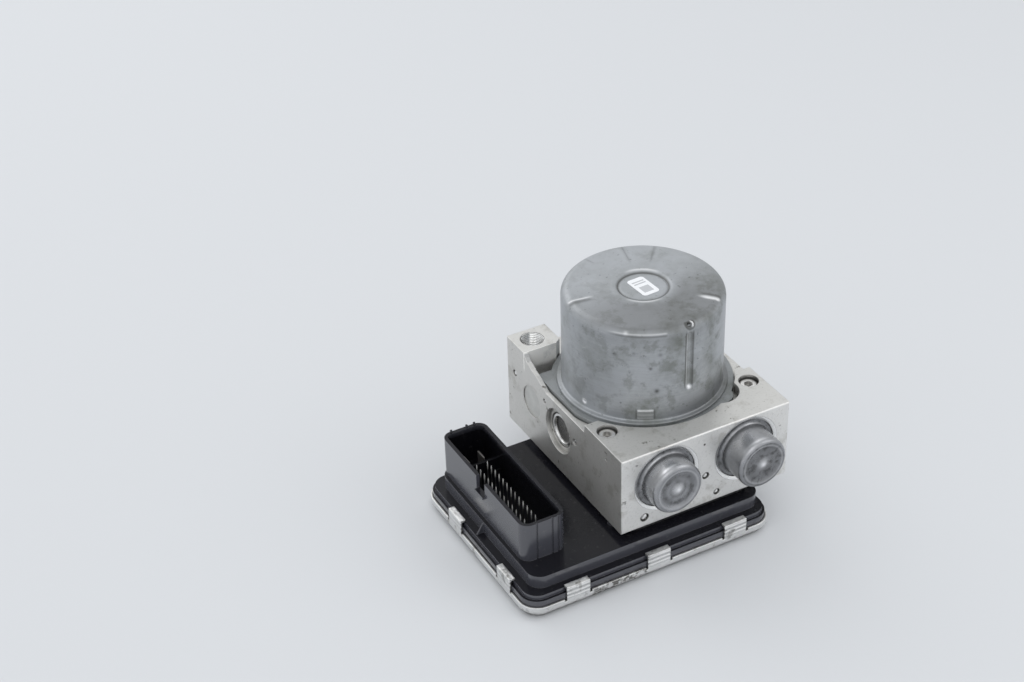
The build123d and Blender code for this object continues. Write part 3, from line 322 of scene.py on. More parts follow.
def edges_group():
    """Soft edges: the bevelled normal, and a mask where it leaves the flat one, which the finishes use for
    painted highlights and wear on the edges.
    """
    tree, given = group("Soft edges", Radius=0.4 * MM, Reach=0.25)
    bevel = add(tree, "ShaderNodeBevel", {"Radius": given["Radius"]}, samples=6)["Normal"]
    flat = add(tree, "ShaderNodeNewGeometry")["Normal"]
    same = add(tree, "ShaderNodeVectorMath", {0: bevel, 1: flat}, operation="DOT_PRODUCT")["Value"]
    away = add(tree, "ShaderNodeMath", {0: 1.0, 1: same}, operation="SUBTRACT")
    edge = add(tree, "ShaderNodeMapRange", {"Value": away[0], "From Max": given["Reach"]})
    return ended(tree, Normal=bevel, Edge=edge["Result"])


def scratches_group():
    """Short thin scratches: noise stretched along a turned direction and cut at a high level."""
    tree, given = group("Scratches", Turn=(0.3, 0.2, 0.6), Level=0.7)
    aligned = add(tree, "ShaderNodeVectorRotate", {"Vector": own_place(tree), "Rotation": given["Turn"]},
                  rotation_type="EULER_XYZ")
    stretched = add(tree, "ShaderNodeVectorMath", {0: aligned[0], 1: (90.0, 1900.0, 1900.0)},
                    operation="MULTIPLY")
    lines = add(tree, "ShaderNodeTexNoise", {"Vector": stretched[0], "Scale": 1.0, "Detail": 1.0})["Fac"]
    high = add(tree, "ShaderNodeMath", {0: given["Level"], 1: 0.06}, operation="ADD")
    mask = add(tree, "ShaderNodeMapRange",
               {"Value": lines, "From Min": given["Level"], "From Max": high[0]})
    return ended(tree, Mask=mask["Result"])


def corner_shade_and_grime_group():
    """Painted shade and grime where surfaces meet: how much nearby faces shade a point, broken up by noise.
    """
    tree, given = group("Corner shade and grime", Reach=3 * MM, Size=300.0)
    shade = add(tree, "ShaderNodeAmbientOcclusion", {"Distance": given["Reach"]}, samples=6)["AO"]
    cloud = add(tree, "ShaderNodeTexNoise",
                {"Vector": own_place(tree), "Scale": given["Size"], "Detail": 4.0})
    low = add(tree, "ShaderNodeMapRange", {"Value": cloud["Fac"], "To Min": 0.25, "To Max": 0.75})
    mask = add(tree, "ShaderNodeMapRange",
               {"Value": shade, "From Min": low["Result"], "From Max": 0.95, "To Min": 1.0, "To Max": 0.0})
    return ended(tree, Mask=mask["Result"])


GROUP_MAKERS = {"Patches": patches_group, "Grain": grain_group, "Soft edges": edges_group,
                "Scratches": scratches_group, "Corner shade and grime": corner_shade_and_grime_group}
GROUPS = {}


def shared(name):
    """A shader group by name, built the first time it is asked for."""
    if name not in GROUPS:
        GROUPS[name] = GROUP_MAKERS[name]()
    return GROUPS[name]


def tint(colour, factor):
    """A colour made lighter or darker."""
    return [min(1.0, c * factor) for c in colour]


class Finish:
    """A material with its shader, and short ways to build colour and bump in it."""

    def __init__(self, name, metallic, roughness):
        self.material = bpy.data.materials.new(name)
        self.material.use_nodes = True
        self.tree = self.material.node_tree
        self.shader = self.tree.nodes["Principled BSDF"]
        self.set(Metallic=metallic, Roughness=roughness)

    def set(self, **sockets):
        """Links or sets shader inputs by name, and gives the material."""
        for key, value in sockets.items():
            put(self.tree, self.shader.inputs[key.replace("_", " ")], value)
        return self.material

    def use(self, name, **values):
        """The outputs of a shared group with its own values."""
        return add(self.tree, "ShaderNodeGroup", values, node_tree=shared(name))

    def patches(self, size, level, softness, place=(0.0, 0.0, 0.0)):
        """Patches cut from noise of that size at that level, with that softness, from another place in it."""
        return self.use("Patches", Size=size, Level=level, Softness=softness, Place=place)["Mask"]

    def clouds(self, size, place=(0.0, 0.0, 0.0)):
        """Noise of that size."""
        return self.use("Patches", Size=size, Place=place)["Cloud"]

    def scratches(self, turn, level):
        """Scratches along a direction; fewer at a higher level."""
        return self.use("Scratches", Turn=turn, Level=level)["Mask"]

    def corners(self, reach, size):
        """Grime and painted shade up to that far from a corner, in specks of that size."""
        return self.use("Corner shade and grime", Reach=reach, Size=size)["Mask"]

    def math(self, operation, first, second=0.0):
        """One sum on two values, each a number or a socket."""
        return add(self.tree, "ShaderNodeMath", {0: first, 1: second}, operation=operation)[0]

    def times(self, product, *factors):
        """The product of values."""
        for factor in factors:
            product = self.math("MULTIPLY", product, factor)
        return product

    def off(self, value, centre):
        """How far a value lies from the centre."""
        return self.math("ABSOLUTE", self.math("SUBTRACT", value, centre))

    def within(self, value, centre, half):
        """1 where a value lies less than half from the centre, else 0."""
        return self.math("LESS_THAN", self.off(value, centre), half)

    def spread(self, value, low, high, start=0.0, end=1.0):
        """A value stretched from the range between start and end to the one between low and high."""
        ends = {"From Min": start, "From Max": end, "To Min": low, "To Max": high}
        return add(self.tree, "ShaderNodeMapRange", {"Value": value, **ends})["Result"]

    def mix(self, factor, first, second):
        """A colour between two, each a colour or a socket."""
        return add(self.tree, "ShaderNodeMix", {0: factor, 6: first, 7: second}, data_type="RGBA")[2]

    def layers(self, under, *laid):
        """Colours laid one over another, each as (mask, amount, colour)."""
        for mask, amount, colour in laid:
            factor = mask if amount == 1.0 else self.times(mask, amount)
            under = self.mix(factor, under, colour)
        return under

    def bump(self, height, distance, normal=None):
        """A bump on the shader, over a given normal."""
        inputs = {"Strength": 1.0, "Distance": distance, "Height": height}
        if normal is not None:
            inputs["Normal"] = normal
        return add(self.tree, "ShaderNodeBump", inputs)["Normal"]

    def painted(self, label):
        """The value that a mesh carries at its points, 0 where it has none."""
        return add(self.tree, "ShaderNodeAttribute", attribute_name=label)["Fac"]

    def split(self, vector):
        """The x, y and z of a vector."""
        return add(self.tree, "ShaderNodeSeparateXYZ", {0: vector})

    def place(self):
        """Object coordinates, split."""
        return self.split(own_place(self.tree))

    def facing(self):
        """The direction that a face looks in, split."""
        return self.split(add(self.tree, "ShaderNodeNewGeometry")["Normal"])

    def from_screws(self):
        """Distance from the nearer of the two pad screws' axes, and the screws' radius."""
        low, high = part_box("pad_screws")
        radius = (high.y - low.y) / 2
        x, y = self.place()[:2]
        apart = (high.x - low.x) / 2 - radius
        aside = self.math("SUBTRACT", self.off(x, (low.x + high.x) / 2), apart)
        ahead = self.math("SUBTRACT", y, (low.y + high.y) / 2)
        squares = self.math("ADD", self.times(aside, aside), self.times(ahead, ahead))
        return self.math("SQRT", squares), radius


# Finishes


def machined_finish(settings):
    """Machined aluminium: milling lines, cloudy tone, scratches, painted highlights and wear on the edges,
    grime and painted shade in the corners, painted shade on the left side, painted light on the towers' inner
    walls and painted shade round the sunk screws.
    """
    finish = Finish("Machined aluminium", 0.76, 0.4)
    dirt = settings.dirt
    clouds = finish.clouds(38.0)
    stains = finish.patches(95.0, 0.6, 0.06, (0.6, 0.4, 0.2))
    lines = finish.use("Grain", Squeeze=(60.0, 1500.0, 1500.0))["Lines"]
    edges = finish.use("Soft edges", Radius=0.45 * MM)
    place = finish.place()
    facing = finish.facing()
    tone = finish.mix(clouds, tint(settings.colour, 0.8), tint(settings.colour, 1.1))
    worn = finish.layers(
        tone,
        (stains, 0.3, tint(dirt, 3.0)),
        (finish.patches(210.0, 0.67, 0.03, (0.3, 0.1, 0.2)), 0.75, dirt),
        # painted shade on the left side, and darker on what looks up
        (finish.spread(facing[0], 0.28, 0.0, -1.0, -0.9), 1.0, tint(dirt, 2.6)),
        (finish.spread(facing[2], 0.0, 0.27, 0.5, 1.0), 1.0, tint(dirt, 2.6)),
        (finish.patches(900.0, 0.6, 0.05, (0.7, 0.1, 0.4)), 0.16, tint(dirt, 2.0)),
        # painted shade and grime where surfaces meet
        (finish.corners(1.6 * MM, 260.0), 0.6, tint(dirt, 0.8)),
        (finish.scratches((0.9, 0.5, 0.7), 0.72), 0.5, tint(dirt, 4.0)),
        # painted highlights and wear on the edges
        (edges["Edge"], 0.2, (0.9, 0.9, 0.89)))
    # painted light on the towers' inner walls: paler, and less metallic
    top = BLOCK_HIGH.z
    lit_inner_wall = finish.times(finish.within(place[1], BLOCK_HIGH.y - 17 * MM, 0.3 * MM),
                          finish.spread(place[2], 0.0, 1.0, top - 11 * MM, top - 8.5 * MM))
    lit_wall_tone = finish.mix(stains, (0.93, 0.92, 0.89), tone)
    # painted shade in a ring round the sunk screws
    away, radius = finish.from_screws()
    screw_ring_shade = finish.times(finish.spread(away, 0.8, 0.0, radius + 0.35 * MM, radius + 0.8 * MM),
                          finish.spread(place[2], 0.0, 1.0, top - 12 * MM, top - 9 * MM))
    shown = finish.layers(worn, (lit_inner_wall, 1.0, lit_wall_tone), (screw_ring_shade, 1.0, tint(dirt, 0.4)))
    return finish.set(Base_Color=shown, Metallic=finish.spread(lit_inner_wall, 0.76, 0.25),
                      Roughness=finish.spread(clouds, 0.3, 0.5),
                      Normal=finish.bump(lines, 0.015 * MM, edges["Normal"]))


def can_finish(settings):
    """Plated drawn steel: neutral grey with dull greenish dirt in blotches, scratches, painted highlights and
    wear on the edges, and the dirt, painted shade and painted highlights that the mesh carries.
    """
    finish = Finish("Drawn can", 0.6, 0.5)
    dirt = settings.stain
    blotches = finish.use("Patches", Size=120.0, Level=0.57, Softness=0.07, Place=(0.5, 0.1, 0.9))
    streaks = finish.use("Grain", Squeeze=(70.0, 70.0, 1300.0), Detail=4.0)["Lines"]
    edges = finish.use("Soft edges", Radius=0.35 * MM)
    place = finish.place()
    front = finish.spread(place[1], 1.0, 0.4, CAN_Y - 34 * MM, CAN_Y + 8 * MM)
    stain = finish.times(finish.patches(34.0, 0.53, 0.12, (0.11, 0.4, 0.2)), front,
                         finish.spread(blotches["Cloud"], 0.1, 1.3))
    shown = finish.layers(
        finish.mix(stain, tint(settings.colour, 1.06), tint(dirt, 1.1)),
        (blotches["Mask"], finish.times(front, 0.5), dirt),
        (finish.patches(430.0, 0.67, 0.05, (0.2, 0.7, 0.5)), 0.5, tint(dirt, 0.4)),
        (finish.spread(streaks, 0.0, 0.2, 0.4, 0.8), 1.0, dirt),
        (finish.scratches((0.4, 0.2, 1.3), 0.72), 0.35, (0.6, 0.6, 0.62)),
        # painted highlights and wear on the edges
        (edges["Edge"], 0.15, (0.7, 0.7, 0.7)),
        # darker at the foot
        (finish.spread(place[2], 0.5, 0.0, CAN_LOW.z - 0.5 * MM, CAN_LOW.z + 3 * MM), 1.0, tint(dirt, 0.7)),
        # dirt and painted shade, then painted highlights, as the mesh carries them
        (finish.painted("dirt_and_painted_shade"), 0.85, (0.035, 0.034, 0.028)),
        (finish.painted("painted_highlight"), 0.85, (0.95, 0.95, 0.96)))
    return finish.set(Base_Color=shown, Roughness=finish.spread(stain, 0.46, 0.64),
                      Normal=finish.bump(blotches["Cloud"], 0.05 * MM, edges["Normal"]))


def cup_finish(settings):
    """Drawn steel of the cups, mottled, with dirt on the ends, painted shade in rings of the dish and at the
    root, and painted highlights.
    """
    finish = Finish("Drawn cup", 0.88, 0.33)
    mottled = finish.use("Patches", Size=330.0, Level=0.57, Softness=0.1)
    stain = finish.times(finish.patches(70.0, 0.5, 0.15, (0.7, 0.2, 0.2)),
                         finish.spread(mottled["Cloud"], 0.2, 0.9))
    dirt_and_painted_shade = finish.times(finish.painted("dirt_and_painted_shade"), finish.spread(mottled["Mask"], 0.55, 1.1))
    shown = finish.layers(finish.mix(stain, settings.colour, tint(settings.colour, 0.55)),
                          # dirt and painted shade that the mesh carries, then painted highlights
                          (dirt_and_painted_shade, 0.8, (0.06, 0.06, 0.06)),
                          (finish.painted("painted_highlight"), 0.8, (0.9, 0.9, 0.92)))
    return finish.set(Base_Color=shown, Roughness=finish.spread(stain, 0.24, 0.48),
                      Normal=finish.bump(mottled["Cloud"], 0.04 * MM))


def staked_finish():
    """Freshly staked metal: bright, with grime and painted shade in its corners, and painted shade where the
    mesh carries it.
    """
    finish = Finish("Staked metal", 1.0, 0.25)
    clouds = finish.clouds(260.0)
    shown = finish.layers(finish.mix(clouds, (0.72, 0.72, 0.71), (0.98, 0.98, 0.97)),
                          # painted shade and grime in the corners, then painted shade that the mesh carries
                          (finish.corners(1.0 * MM, 400.0), 0.5, (0.12, 0.115, 0.1)),
                          (finish.painted("dirt_and_painted_shade"), 0.9, (0.05, 0.05, 0.045)))
    return finish.set(Base_Color=shown, Roughness=finish.spread(clouds, 0.16, 0.32),
                      Normal=finish.bump(clouds, 0.03 * MM))


def plastic_finish(settings):
    """Glossy black moulding with fine dust, painted light on its upright walls, which are paler, and painted
    shade inside the socket, which is black.
    """
    finish = Finish("Black moulding", 0.0, 0.2)
    broad = finish.clouds(45.0, (0.4, 0.2, 0.8))
    edges = finish.use("Soft edges", Radius=0.3 * MM)
    place = finish.place()
    rim = HOUSING_HIGH.z
    upward = finish.spread(finish.facing()[2], 0.0, 1.0, 0.3, 0.9)
    shaded_socket = finish.times(finish.within(place[0], SOCKET_X, SOCKET_HALF_X),
                          finish.within(place[1], SOCKET_Y, SOCKET_HALF_Y),
                          finish.spread(place[2], 0.0, 1.0, rim - 0.3 * MM, rim - 4 * MM))
    # painted light: the upright walls get the paler colour; painted shade: black inside the socket
    shown = finish.layers(finish.mix(upward, settings.wall, settings.plastic),
                          (shaded_socket, 1.0, tint(settings.plastic, 0.5)),
                          (finish.patches(330.0, 0.64, 0.06), 0.05, (0.3, 0.3, 0.28)),
                          # painted highlights and wear on the edges
                          (edges["Edge"], 0.05, (0.16, 0.16, 0.17)))
    gloss = finish.times(finish.spread(upward, 0.95, 0.2), finish.spread(shaded_socket, 1.0, 0.2))
    return finish.set(Base_Color=shown, Roughness=finish.spread(broad, 0.13, 0.27), Specular_IOR_Level=gloss,
                      Normal=finish.bump(broad, 0.12 * MM, edges["Normal"]))


def cover_finish(settings):
    """Tinned sheet: satin, streaked and wrinkled at the tabs, with brown grime and painted shade in the
    folds, and painted highlights and wear on its edges.
    """
    finish = Finish("Stamped sheet", 0.92, 0.35)
    clouds = finish.clouds(60.0)
    wrinkles = finish.clouds(240.0, (0.3, 0.9, 0.6))
    edges = finish.use("Soft edges", Radius=0.8 * MM, Reach=0.35)
    x, y, z = finish.place()
    # flaked and dirty along part of the front
    flaked = finish.times(finish.math("LESS_THAN", y, COVER_LOW.y + 3 * MM),
                          finish.spread(x, 0.0, 1.0, -41 * MM, -37 * MM),
                          finish.spread(x, 1.0, 0.0, -11 * MM, -8 * MM),
                          finish.patches(420.0, 0.52, 0.06, (0.2, 0.8, 0.1)))
    shown = finish.layers(finish.mix(clouds, tint(settings.metal, 0.8), tint(settings.metal, 1.2)),
                          (finish.patches(170.0, 0.6, 0.06, (0.1, 0.1, 0.6)), 0.55, (0.1, 0.09, 0.075)),
                          # brown grime and painted shade where surfaces meet
                          (finish.corners(2.0 * MM, 300.0), 0.75, (0.07, 0.06, 0.05)),
                          (finish.scratches((0.2, 0.5, 0.3), 0.7), 0.5, (0.3, 0.28, 0.25)),
                          (flaked, 0.85, (0.08, 0.07, 0.06)),
                          # painted highlights and wear on the edges
                          (edges["Edge"], 0.65, (0.95, 0.95, 0.93)))
    # wavy creases across the tabs, one above another
    crease = 2.3 * MM
    wavy = finish.math("ADD", z, finish.times(wrinkles, 1.3 * MM))
    folds = finish.math("SINE", finish.times(wavy, 2 * pi / crease))
    on_tab = finish.spread(z, 0.0, 1.0, 6.2 * MM, 7.2 * MM)
    creased = finish.bump(finish.times(folds, on_tab), 0.16 * MM, edges["Normal"])
    return finish.set(Base_Color=shown, Roughness=finish.spread(clouds, 0.22, 0.42),
                      Normal=finish.bump(wrinkles, 0.14 * MM, creased))


def plug_finish():
    """Turned steel plug with painted shade in its recess and a painted highlight on its raised rim."""
    finish = Finish("Turned plug", 0.92, 0.28)
    clouds = finish.clouds(240.0)
    shown = finish.layers(finish.mix(clouds, (0.4, 0.4, 0.39), (0.6, 0.6, 0.59)),
                          # painted shade that the mesh carries, then painted highlights
                          (finish.painted("dirt_and_painted_shade"), 0.88, (0.05, 0.045, 0.04)),
                          (finish.painted("painted_highlight"), 0.9, (0.97, 0.97, 0.96)))
    return finish.set(Base_Color=shown, Roughness=finish.spread(clouds, 0.2, 0.36),
                      Normal=finish.bump(clouds, 0.03 * MM))


def pad_screw_finish():
    """A socket screw's bright face with painted shade at its rim and in its socket, and a small painted
    highlight in the socket.
    """
    finish = Finish("Socket screw", 0.85, 0.3)
    away, radius = finish.from_screws()
    # painted shade at the rim and in the socket
    rim = finish.math("MAXIMUM", finish.spread(away, 0.0, 0.9, 0.8 * radius, 0.9 * radius),
                      finish.spread(away, 0.75, 0.0, 0.38 * radius, 0.5 * radius))
    # a small painted highlight in the middle of the socket
    light = finish.spread(away, 0.9, 0.0, 0.1 * radius, 0.2 * radius)
    shown = finish.layers(finish.mix(finish.clouds(500.0), (0.5, 0.49, 0.47), (0.95, 0.94, 0.92)),
                          (rim, 1.0, (0.06, 0.055, 0.05)),
                          (light, 1.0, (0.95, 0.95, 0.93)))
    return finish.set(Base_Color=shown)


def pin_finish():
    """Bright tinned pins, dark towards their feet."""
    finish = Finish("Tinned pin", 0.3, 0.3)
    clouds = finish.clouds(300.0)
    wavy = finish.math("ADD", finish.place()[2], finish.times(clouds, 7.0 * MM))
    height = finish.spread(wavy, 0.0, 1.0, 31.0 * MM, 35.3 * MM)
    return finish.set(Base_Color=finish.mix(height, (0.03, 0.03, 0.03), (0.95, 0.94, 0.92)),
                      Roughness=finish.spread(clouds, 0.22, 0.4))


def label_finish():
    """White film with plain printed fields: a grey block and two bars, in the label's own turned frame."""
    finish = Finish("Label film", 0.0, 0.32)
    frame_of_label = {"Vector": own_place(finish.tree), "Location": middle("motor_label"),
                      "Rotation": (0.0, 0.0, radians(3.5))}
    own = add(finish.tree, "ShaderNodeMapping", frame_of_label, vector_type="TEXTURE")
    across, along = finish.split(own[0])[:2]
    # each field as its middle along the label and half its size, in millimetres
    printed = 0.0
    for y, half_x, half_y in ((-2.6, 2.6, 2.6), (2.6, 3.2, 0.45), (4.4, 3.2, 0.45)):
        field = finish.times(finish.within(across, 0.0, half_x * MM),
                             finish.within(along, y * MM, half_y * MM))
        printed = finish.math("MAXIMUM", printed, field)
    clouds = finish.clouds(420.0)
    shown = finish.layers(finish.mix(clouds, (0.68, 0.69, 0.71), (0.8, 0.81, 0.83)),
                          (printed, 0.6, (0.22, 0.23, 0.25)))
    return finish.set(Base_Color=shown, Roughness=finish.spread(clouds, 0.25, 0.4))


def plain_finish(name, colour, metallic, roughness, size=200.0, spread=0.2):
    """A finish of one tone with fine variation in colour and gloss."""
    finish = Finish(name, metallic, roughness)
    clouds = finish.clouds(size)
    shown = finish.mix(clouds, tint(colour, 1 - spread), tint(colour, 1 + spread))
    rough = finish.spread(clouds, max(0.05, roughness - 0.08), roughness + 0.1)
    return finish.set(Base_Color=shown, Roughness=rough, Normal=finish.bump(clouds, 0.02 * MM))


# plain finishes as (name, colour, metallic, roughness), some with size and spread
PLAIN = {
    "steel": ("Ground steel", (0.42, 0.42, 0.42), 1.0, 0.25),
    "screw_steel": ("Screw steel", (0.62, 0.61, 0.6), 0.95, 0.3, 200.0, 0.3),
    "magnet": ("Ferrite", (0.07, 0.07, 0.07), 0.2, 0.6),
    "core_steel": ("Core sheets", (0.2, 0.2, 0.21), 0.8, 0.5),
    "copper": ("Enamelled copper", (0.5, 0.2, 0.08), 0.9, 0.35),
    "carbon": ("Brush carbon", (0.03, 0.03, 0.03), 0.1, 0.55),
    "seal_rubber": ("Seal rubber", (0.02, 0.02, 0.02), 0.0, 0.6),
    "board": ("Board lacquer", (0.02, 0.13, 0.05), 0.0, 0.35),
    "electronic": ("Chip epoxy", (0.03, 0.03, 0.03), 0.0, 0.5),
    "inner_plastic": ("Brush plate", (0.1, 0.1, 0.11), 0.0, 0.5),
    "blade": ("Dull blade", (0.22, 0.21, 0.2), 0.8, 0.45),
    "disc": ("Damper disc", (0.54, 0.54, 0.52), 0.8, 0.42, 160.0, 0.25),
}
OWN_LOOK = {"plug_metal": plug_finish, "pin_metal": pin_finish, "label_white": label_finish,
            "staked": staked_finish, "pad_screw": pad_screw_finish}
# finishes that read a group of settings
FROM_SETTINGS = {
    "block_metal": (machined_finish, "brake_block"),
    "can_metal": (can_finish, "brake_can"),
    "cap_metal": (cup_finish, "brake_cups"),
    "housing_plastic": (plastic_finish, "brake_unit"),
    "cover_metal": (cover_finish, "brake_unit"),
}
MADE = {}


def finish_for(look):
    """The material of one of the record's slots, or of a piece that differs from its slot, made once."""
    if look not in MADE:
        if look in PLAIN:
            MADE[look] = plain_finish(*PLAIN[look])
        elif look in OWN_LOOK:
            MADE[look] = OWN_LOOK[look]()
        else:
            maker, settings = FROM_SETTINGS[look]
            MADE[look] = maker(getattr(bpy.context.scene, settings))
    return MADE[look]


class BRAKE_OT_finishes(bpy.types.Operator):
    """Gives every CAD piece the finish of its slot."""
    bl_idname = "brake.finishes"
    bl_label = "Finishes"

    def execute(self, context):
        looks = {part["node"]: part["material_slot"] for part in frame["record"]["subparts"]}
        # these look different from the rest of their slot
        looks.update(power_blades="blade", damper_discs="disc", pad_screws="pad_screw")
        for node, look in looks.items():
            mesh = NODES[node].data
            mesh.materials.clear()
            mesh.materials.append(finish_for(look))
        return {"FINISHED"}


# The motor can, worked out in millimetres


def can_rows(settings):
    """Half section of the can as (radius, height): outside from the axis out and down, then inside."""
    top = CAN_HIGH.z / MM - 0.4
    bottom = CAN_LOW.z / MM
    radius = CAN_WALL / MM
    bead = (CAN_HIGH.x - CAN_LOW.x) / 2 / MM
    shoulder = settings.shoulder / MM
    ring = settings.ring_radius / MM
    across = np.linspace(0, radius - shoulder, 64)
    height = top - 0.5 * fade(across, ring, ring + 1.5)
    height -= 0.5 * bump(across - ring + 0.5, 0.6)
    height += 0.15 * bump(across - ring - 2.3, 0.8)
    outside = list(zip(across, height))
    outside += arc((radius - shoulder, top - shoulder), shoulder, 86, 0, 16)
    foot = bottom + 2.5
    outside += [(radius, z) for z in np.linspace(top - shoulder, foot, 80)[1:]]
    outside += arc((radius + 0.8, foot), 0.8, 180, 265, 6)[1:]
    outside += arc((bead - 0.5, bottom + 1.1), 0.5, 90, 0, 5)
    wall = 1.8
    seat = 8.0
    roof = top - wall
    inside = [(bead, bottom), (radius - wall, bottom), (radius - wall, roof), (seat + wall, roof)]
    inside += [(seat + wall, roof - 7), (seat, roof - 7), (seat, roof - 1), (0, roof - 1)]
    return np.array(outside), np.array(inside)


class BRAKE_OT_can(bpy.types.Operator):
    """The drawn can: a turned section with pressed marks in its top and wall."""
    bl_idname = "brake.can"
    bl_label = "Motor can"

    def execute(self, context):
        settings = context.scene.brake_can
        outside, inside = can_rows(settings)
        # the side towards the viewer gets finer faces
        start, change, end = radians(-195), radians(15), radians(165)
        share = int(settings.steps_round * 0.72)
        turn = np.concatenate([np.linspace(start, change, share, endpoint=False),
                               np.linspace(change, end, settings.steps_round - share, endpoint=False)])
        slope = np.gradient(outside, axis=0)
        slope /= np.linalg.norm(slope, axis=1, keepdims=True)
        radius, angle = np.meshgrid(outside[:, 0], turn, indexing="ij")
        height = np.repeat(outside[:, 1:2], len(turn), axis=1)
        # how far up each row lies, along the wall from the flange and on over the shoulder
        steps = np.linalg.norm(np.diff(outside, axis=0), axis=1)
        down = np.concatenate([[0], np.cumsum(steps)])
        corner = np.argmax(outside[:, 0] >= CAN_WALL / MM - 0.001)
        unrolled = outside[corner, 1] - CAN_LOW.z / MM + down[corner] - down
        marks = CanMarks(radius, angle, height, np.repeat(unrolled[:, None], len(turn), axis=1))
        rows_in = np.ones((len(inside), len(turn)))
        r = np.vstack([radius - slope[:, 1:2] * marks.relief, inside[:, 0:1] * rows_in]) * MM
        z = np.vstack([height + slope[:, 0:1] * marks.relief, inside[:, 1:2] * rows_in]) * MM
        points = np.stack([CAN_X + r * np.cos(turn), CAN_Y + r * np.sin(turn), z], axis=-1)
        # dirt with painted shade, and painted highlights, on the outside only
        dirt_and_painted_shade, painted_highlight = (np.vstack([np.clip(mark, 0, 1), 0 * rows_in]) for mark in (marks.dirt_and_painted_shade, marks.painted_highlight))
        can = lathe("motor_can_shell", points, dirt_and_painted_shade=dirt_and_painted_shade, painted_highlight=painted_highlight)
        show(can, "module", finish_for("can_metal"), "can_metal", "motor_can")
        return {"FINISHED"}


class CanMarks:
    """Relief, dirt with painted shade, and painted highlights at each point of the can's outside, in
    millimetres.

    Each mark is a soft step or bell curve of the distance to it. Angles are in degrees from the right,
    and up is the distance from the flange along the wall and on over the shoulder.
    """

    def __init__(self, radius, angle, height, up):
        self.radius = radius
        self.angle = angle
        self.height = height
        self.up = up
        self.wall = CAN_WALL / MM
        self.top = CAN_HIGH.z / MM
        self.on_top = smooth_step(height, self.top - 3.4, self.top - 1.4)
        self.on_wall = smooth_step(radius, self.wall - 1.5, self.wall - 0.3)
        self.on_rim = smooth_step(radius, self.wall - 3.4, self.wall - 2.2)
        self.relief = np.zeros_like(radius)
        self.dirt_and_painted_shade = np.zeros_like(radius)
        self.painted_highlight = np.zeros_like(radius)
        self.steps()
        self.ring()
        self.crease()
        self.dirt()
        self.groove()
        self.vent()
        self.lance()
        self.spots()

    def along(self, degrees):
        """Distance round the wall from an angle."""
        return turned(self.angle, degrees) * self.wall

    def away(self, degrees, up, aside=0.0):
        """Distance on the wall from a point at an angle and a height, or a little aside of it."""
        return np.hypot(self.along(degrees) - aside, self.up - up)

    def facing(self, degrees, low, high):
        """1 on the side that looks towards an angle, 0 on the far side."""
        return smooth_step(np.cos(self.angle - radians(degrees)), low, high)

    def steps(self):
        """Radial steps in the top, as (angle, inner radius, outer radius, step), with painted highlights and
        painted shade beside them.
        """
        for degrees, inner, outer, size in ((171.0, 24.9, 36.6, 0.31), (-49.5, 26.0, 36.2, 0.31),
                                            (75.0, 20.0, 35.0, 0.16), (49.0, 20.0, 35.0, 0.16),
                                            (108.5, 29.0, 36.0, 0.14)):
            across = turned(self.angle, degrees) * self.radius
            along = smooth_step(self.radius, inner - 1, inner + 5) * fade(self.radius, outer - 0.5, outer + 1)
            along *= smooth_step(self.height, self.top - 6, self.top - 3)
            self.relief += size * ramp_edge(across, 1.1) * along
            # painted highlight on the taller steps' edges and painted shade beside them; painted shade along
            # the lower steps
            if size > 0.3:
                self.painted_highlight += 0.8 * bump(across + 0.2, 0.8) * along
                self.dirt_and_painted_shade += 0.4 * bump(across - 2.0, 1.0) * along
            else:
                self.dirt_and_painted_shade += 0.35 * bump(across, 0.45) * along

    def ring(self):
        """The groove round the bearing seat with painted shade in it, and a painted highlight beside it at
        front and back.
        """
        groove = 11.9
        self.dirt_and_painted_shade += 0.9 * bump(self.radius - groove, 0.6) * self.on_top
        front_back = smooth_step(np.abs(np.sin(self.angle + radians(30))), 0.75, 1.0)
        self.painted_highlight += 0.55 * bump(self.radius - groove - 1.9, 0.7) * self.on_top * front_back

    def crease(self):
        """The sharper crease along part of the front shoulder, with a blob on it, each with a painted
        highlight, and painted shade just below the crease.
        """
        reach = smooth_step(turned(self.angle, -149), 0, 0.2) * fade(turned(self.angle, -105), -0.03, 0.01)
        reach *= self.on_rim
        line = bump(self.up - 48.9, 0.36) * reach
        blob = bump(self.away(-134, 49.3), 1.0) * self.on_rim
        self.relief += 0.12 * line + 0.2 * blob
        self.painted_highlight += 0.4 * line + 0.35 * blob
        self.dirt_and_painted_shade += 0.45 * bump(self.up - 47.9, 0.5) * reach

    def dirt(self):
        """More dirt towards the front of the top and along the front shoulder, and darker low on the right.
        """
        in_front = self.facing(-95, -0.6, 0.9) * smooth_step(self.radius, 11, 19)
        self.dirt_and_painted_shade += 0.5 * in_front * smooth_step(self.up, 47, 52) + 0.07 * self.on_top
        self.dirt_and_painted_shade += 0.17 * bump(self.up - 46, 5) * self.facing(-112, 0.2, 0.95) * self.on_rim
        self.dirt_and_painted_shade += 0.6 * fade(self.up, 5, 18) * self.facing(-52, 0.5, 0.97) * self.on_wall

    def groove(self):
        """The long pressed groove, with painted shade along both edges, painted highlights inside and a
        painted highlight at its foot.
        """
        degrees, low, high = -88.3, 17.4, 45.0
        across = self.along(degrees)
        away = np.hypot(across, self.up - np.clip(self.up, low, high))
        self.relief -= 1.2 * fade(away, 0.9, 2.0) * self.on_wall
        inside = smooth_step(self.up, 15.5, 18) * fade(self.up, high, high + 3.5) * self.on_rim
        self.dirt_and_painted_shade += (0.9 * bump(across + 1.95, 0.4) + 0.75 * bump(across - 1.9, 0.4)) * inside
        self.painted_highlight += (0.45 * bump(across + 1.0, 0.4) + 0.12 * bump(across - 0.3, 0.8)) * inside
        self.painted_highlight += 1.1 * bump(self.away(degrees, low - 1.0, aside=0.5), 0.8)

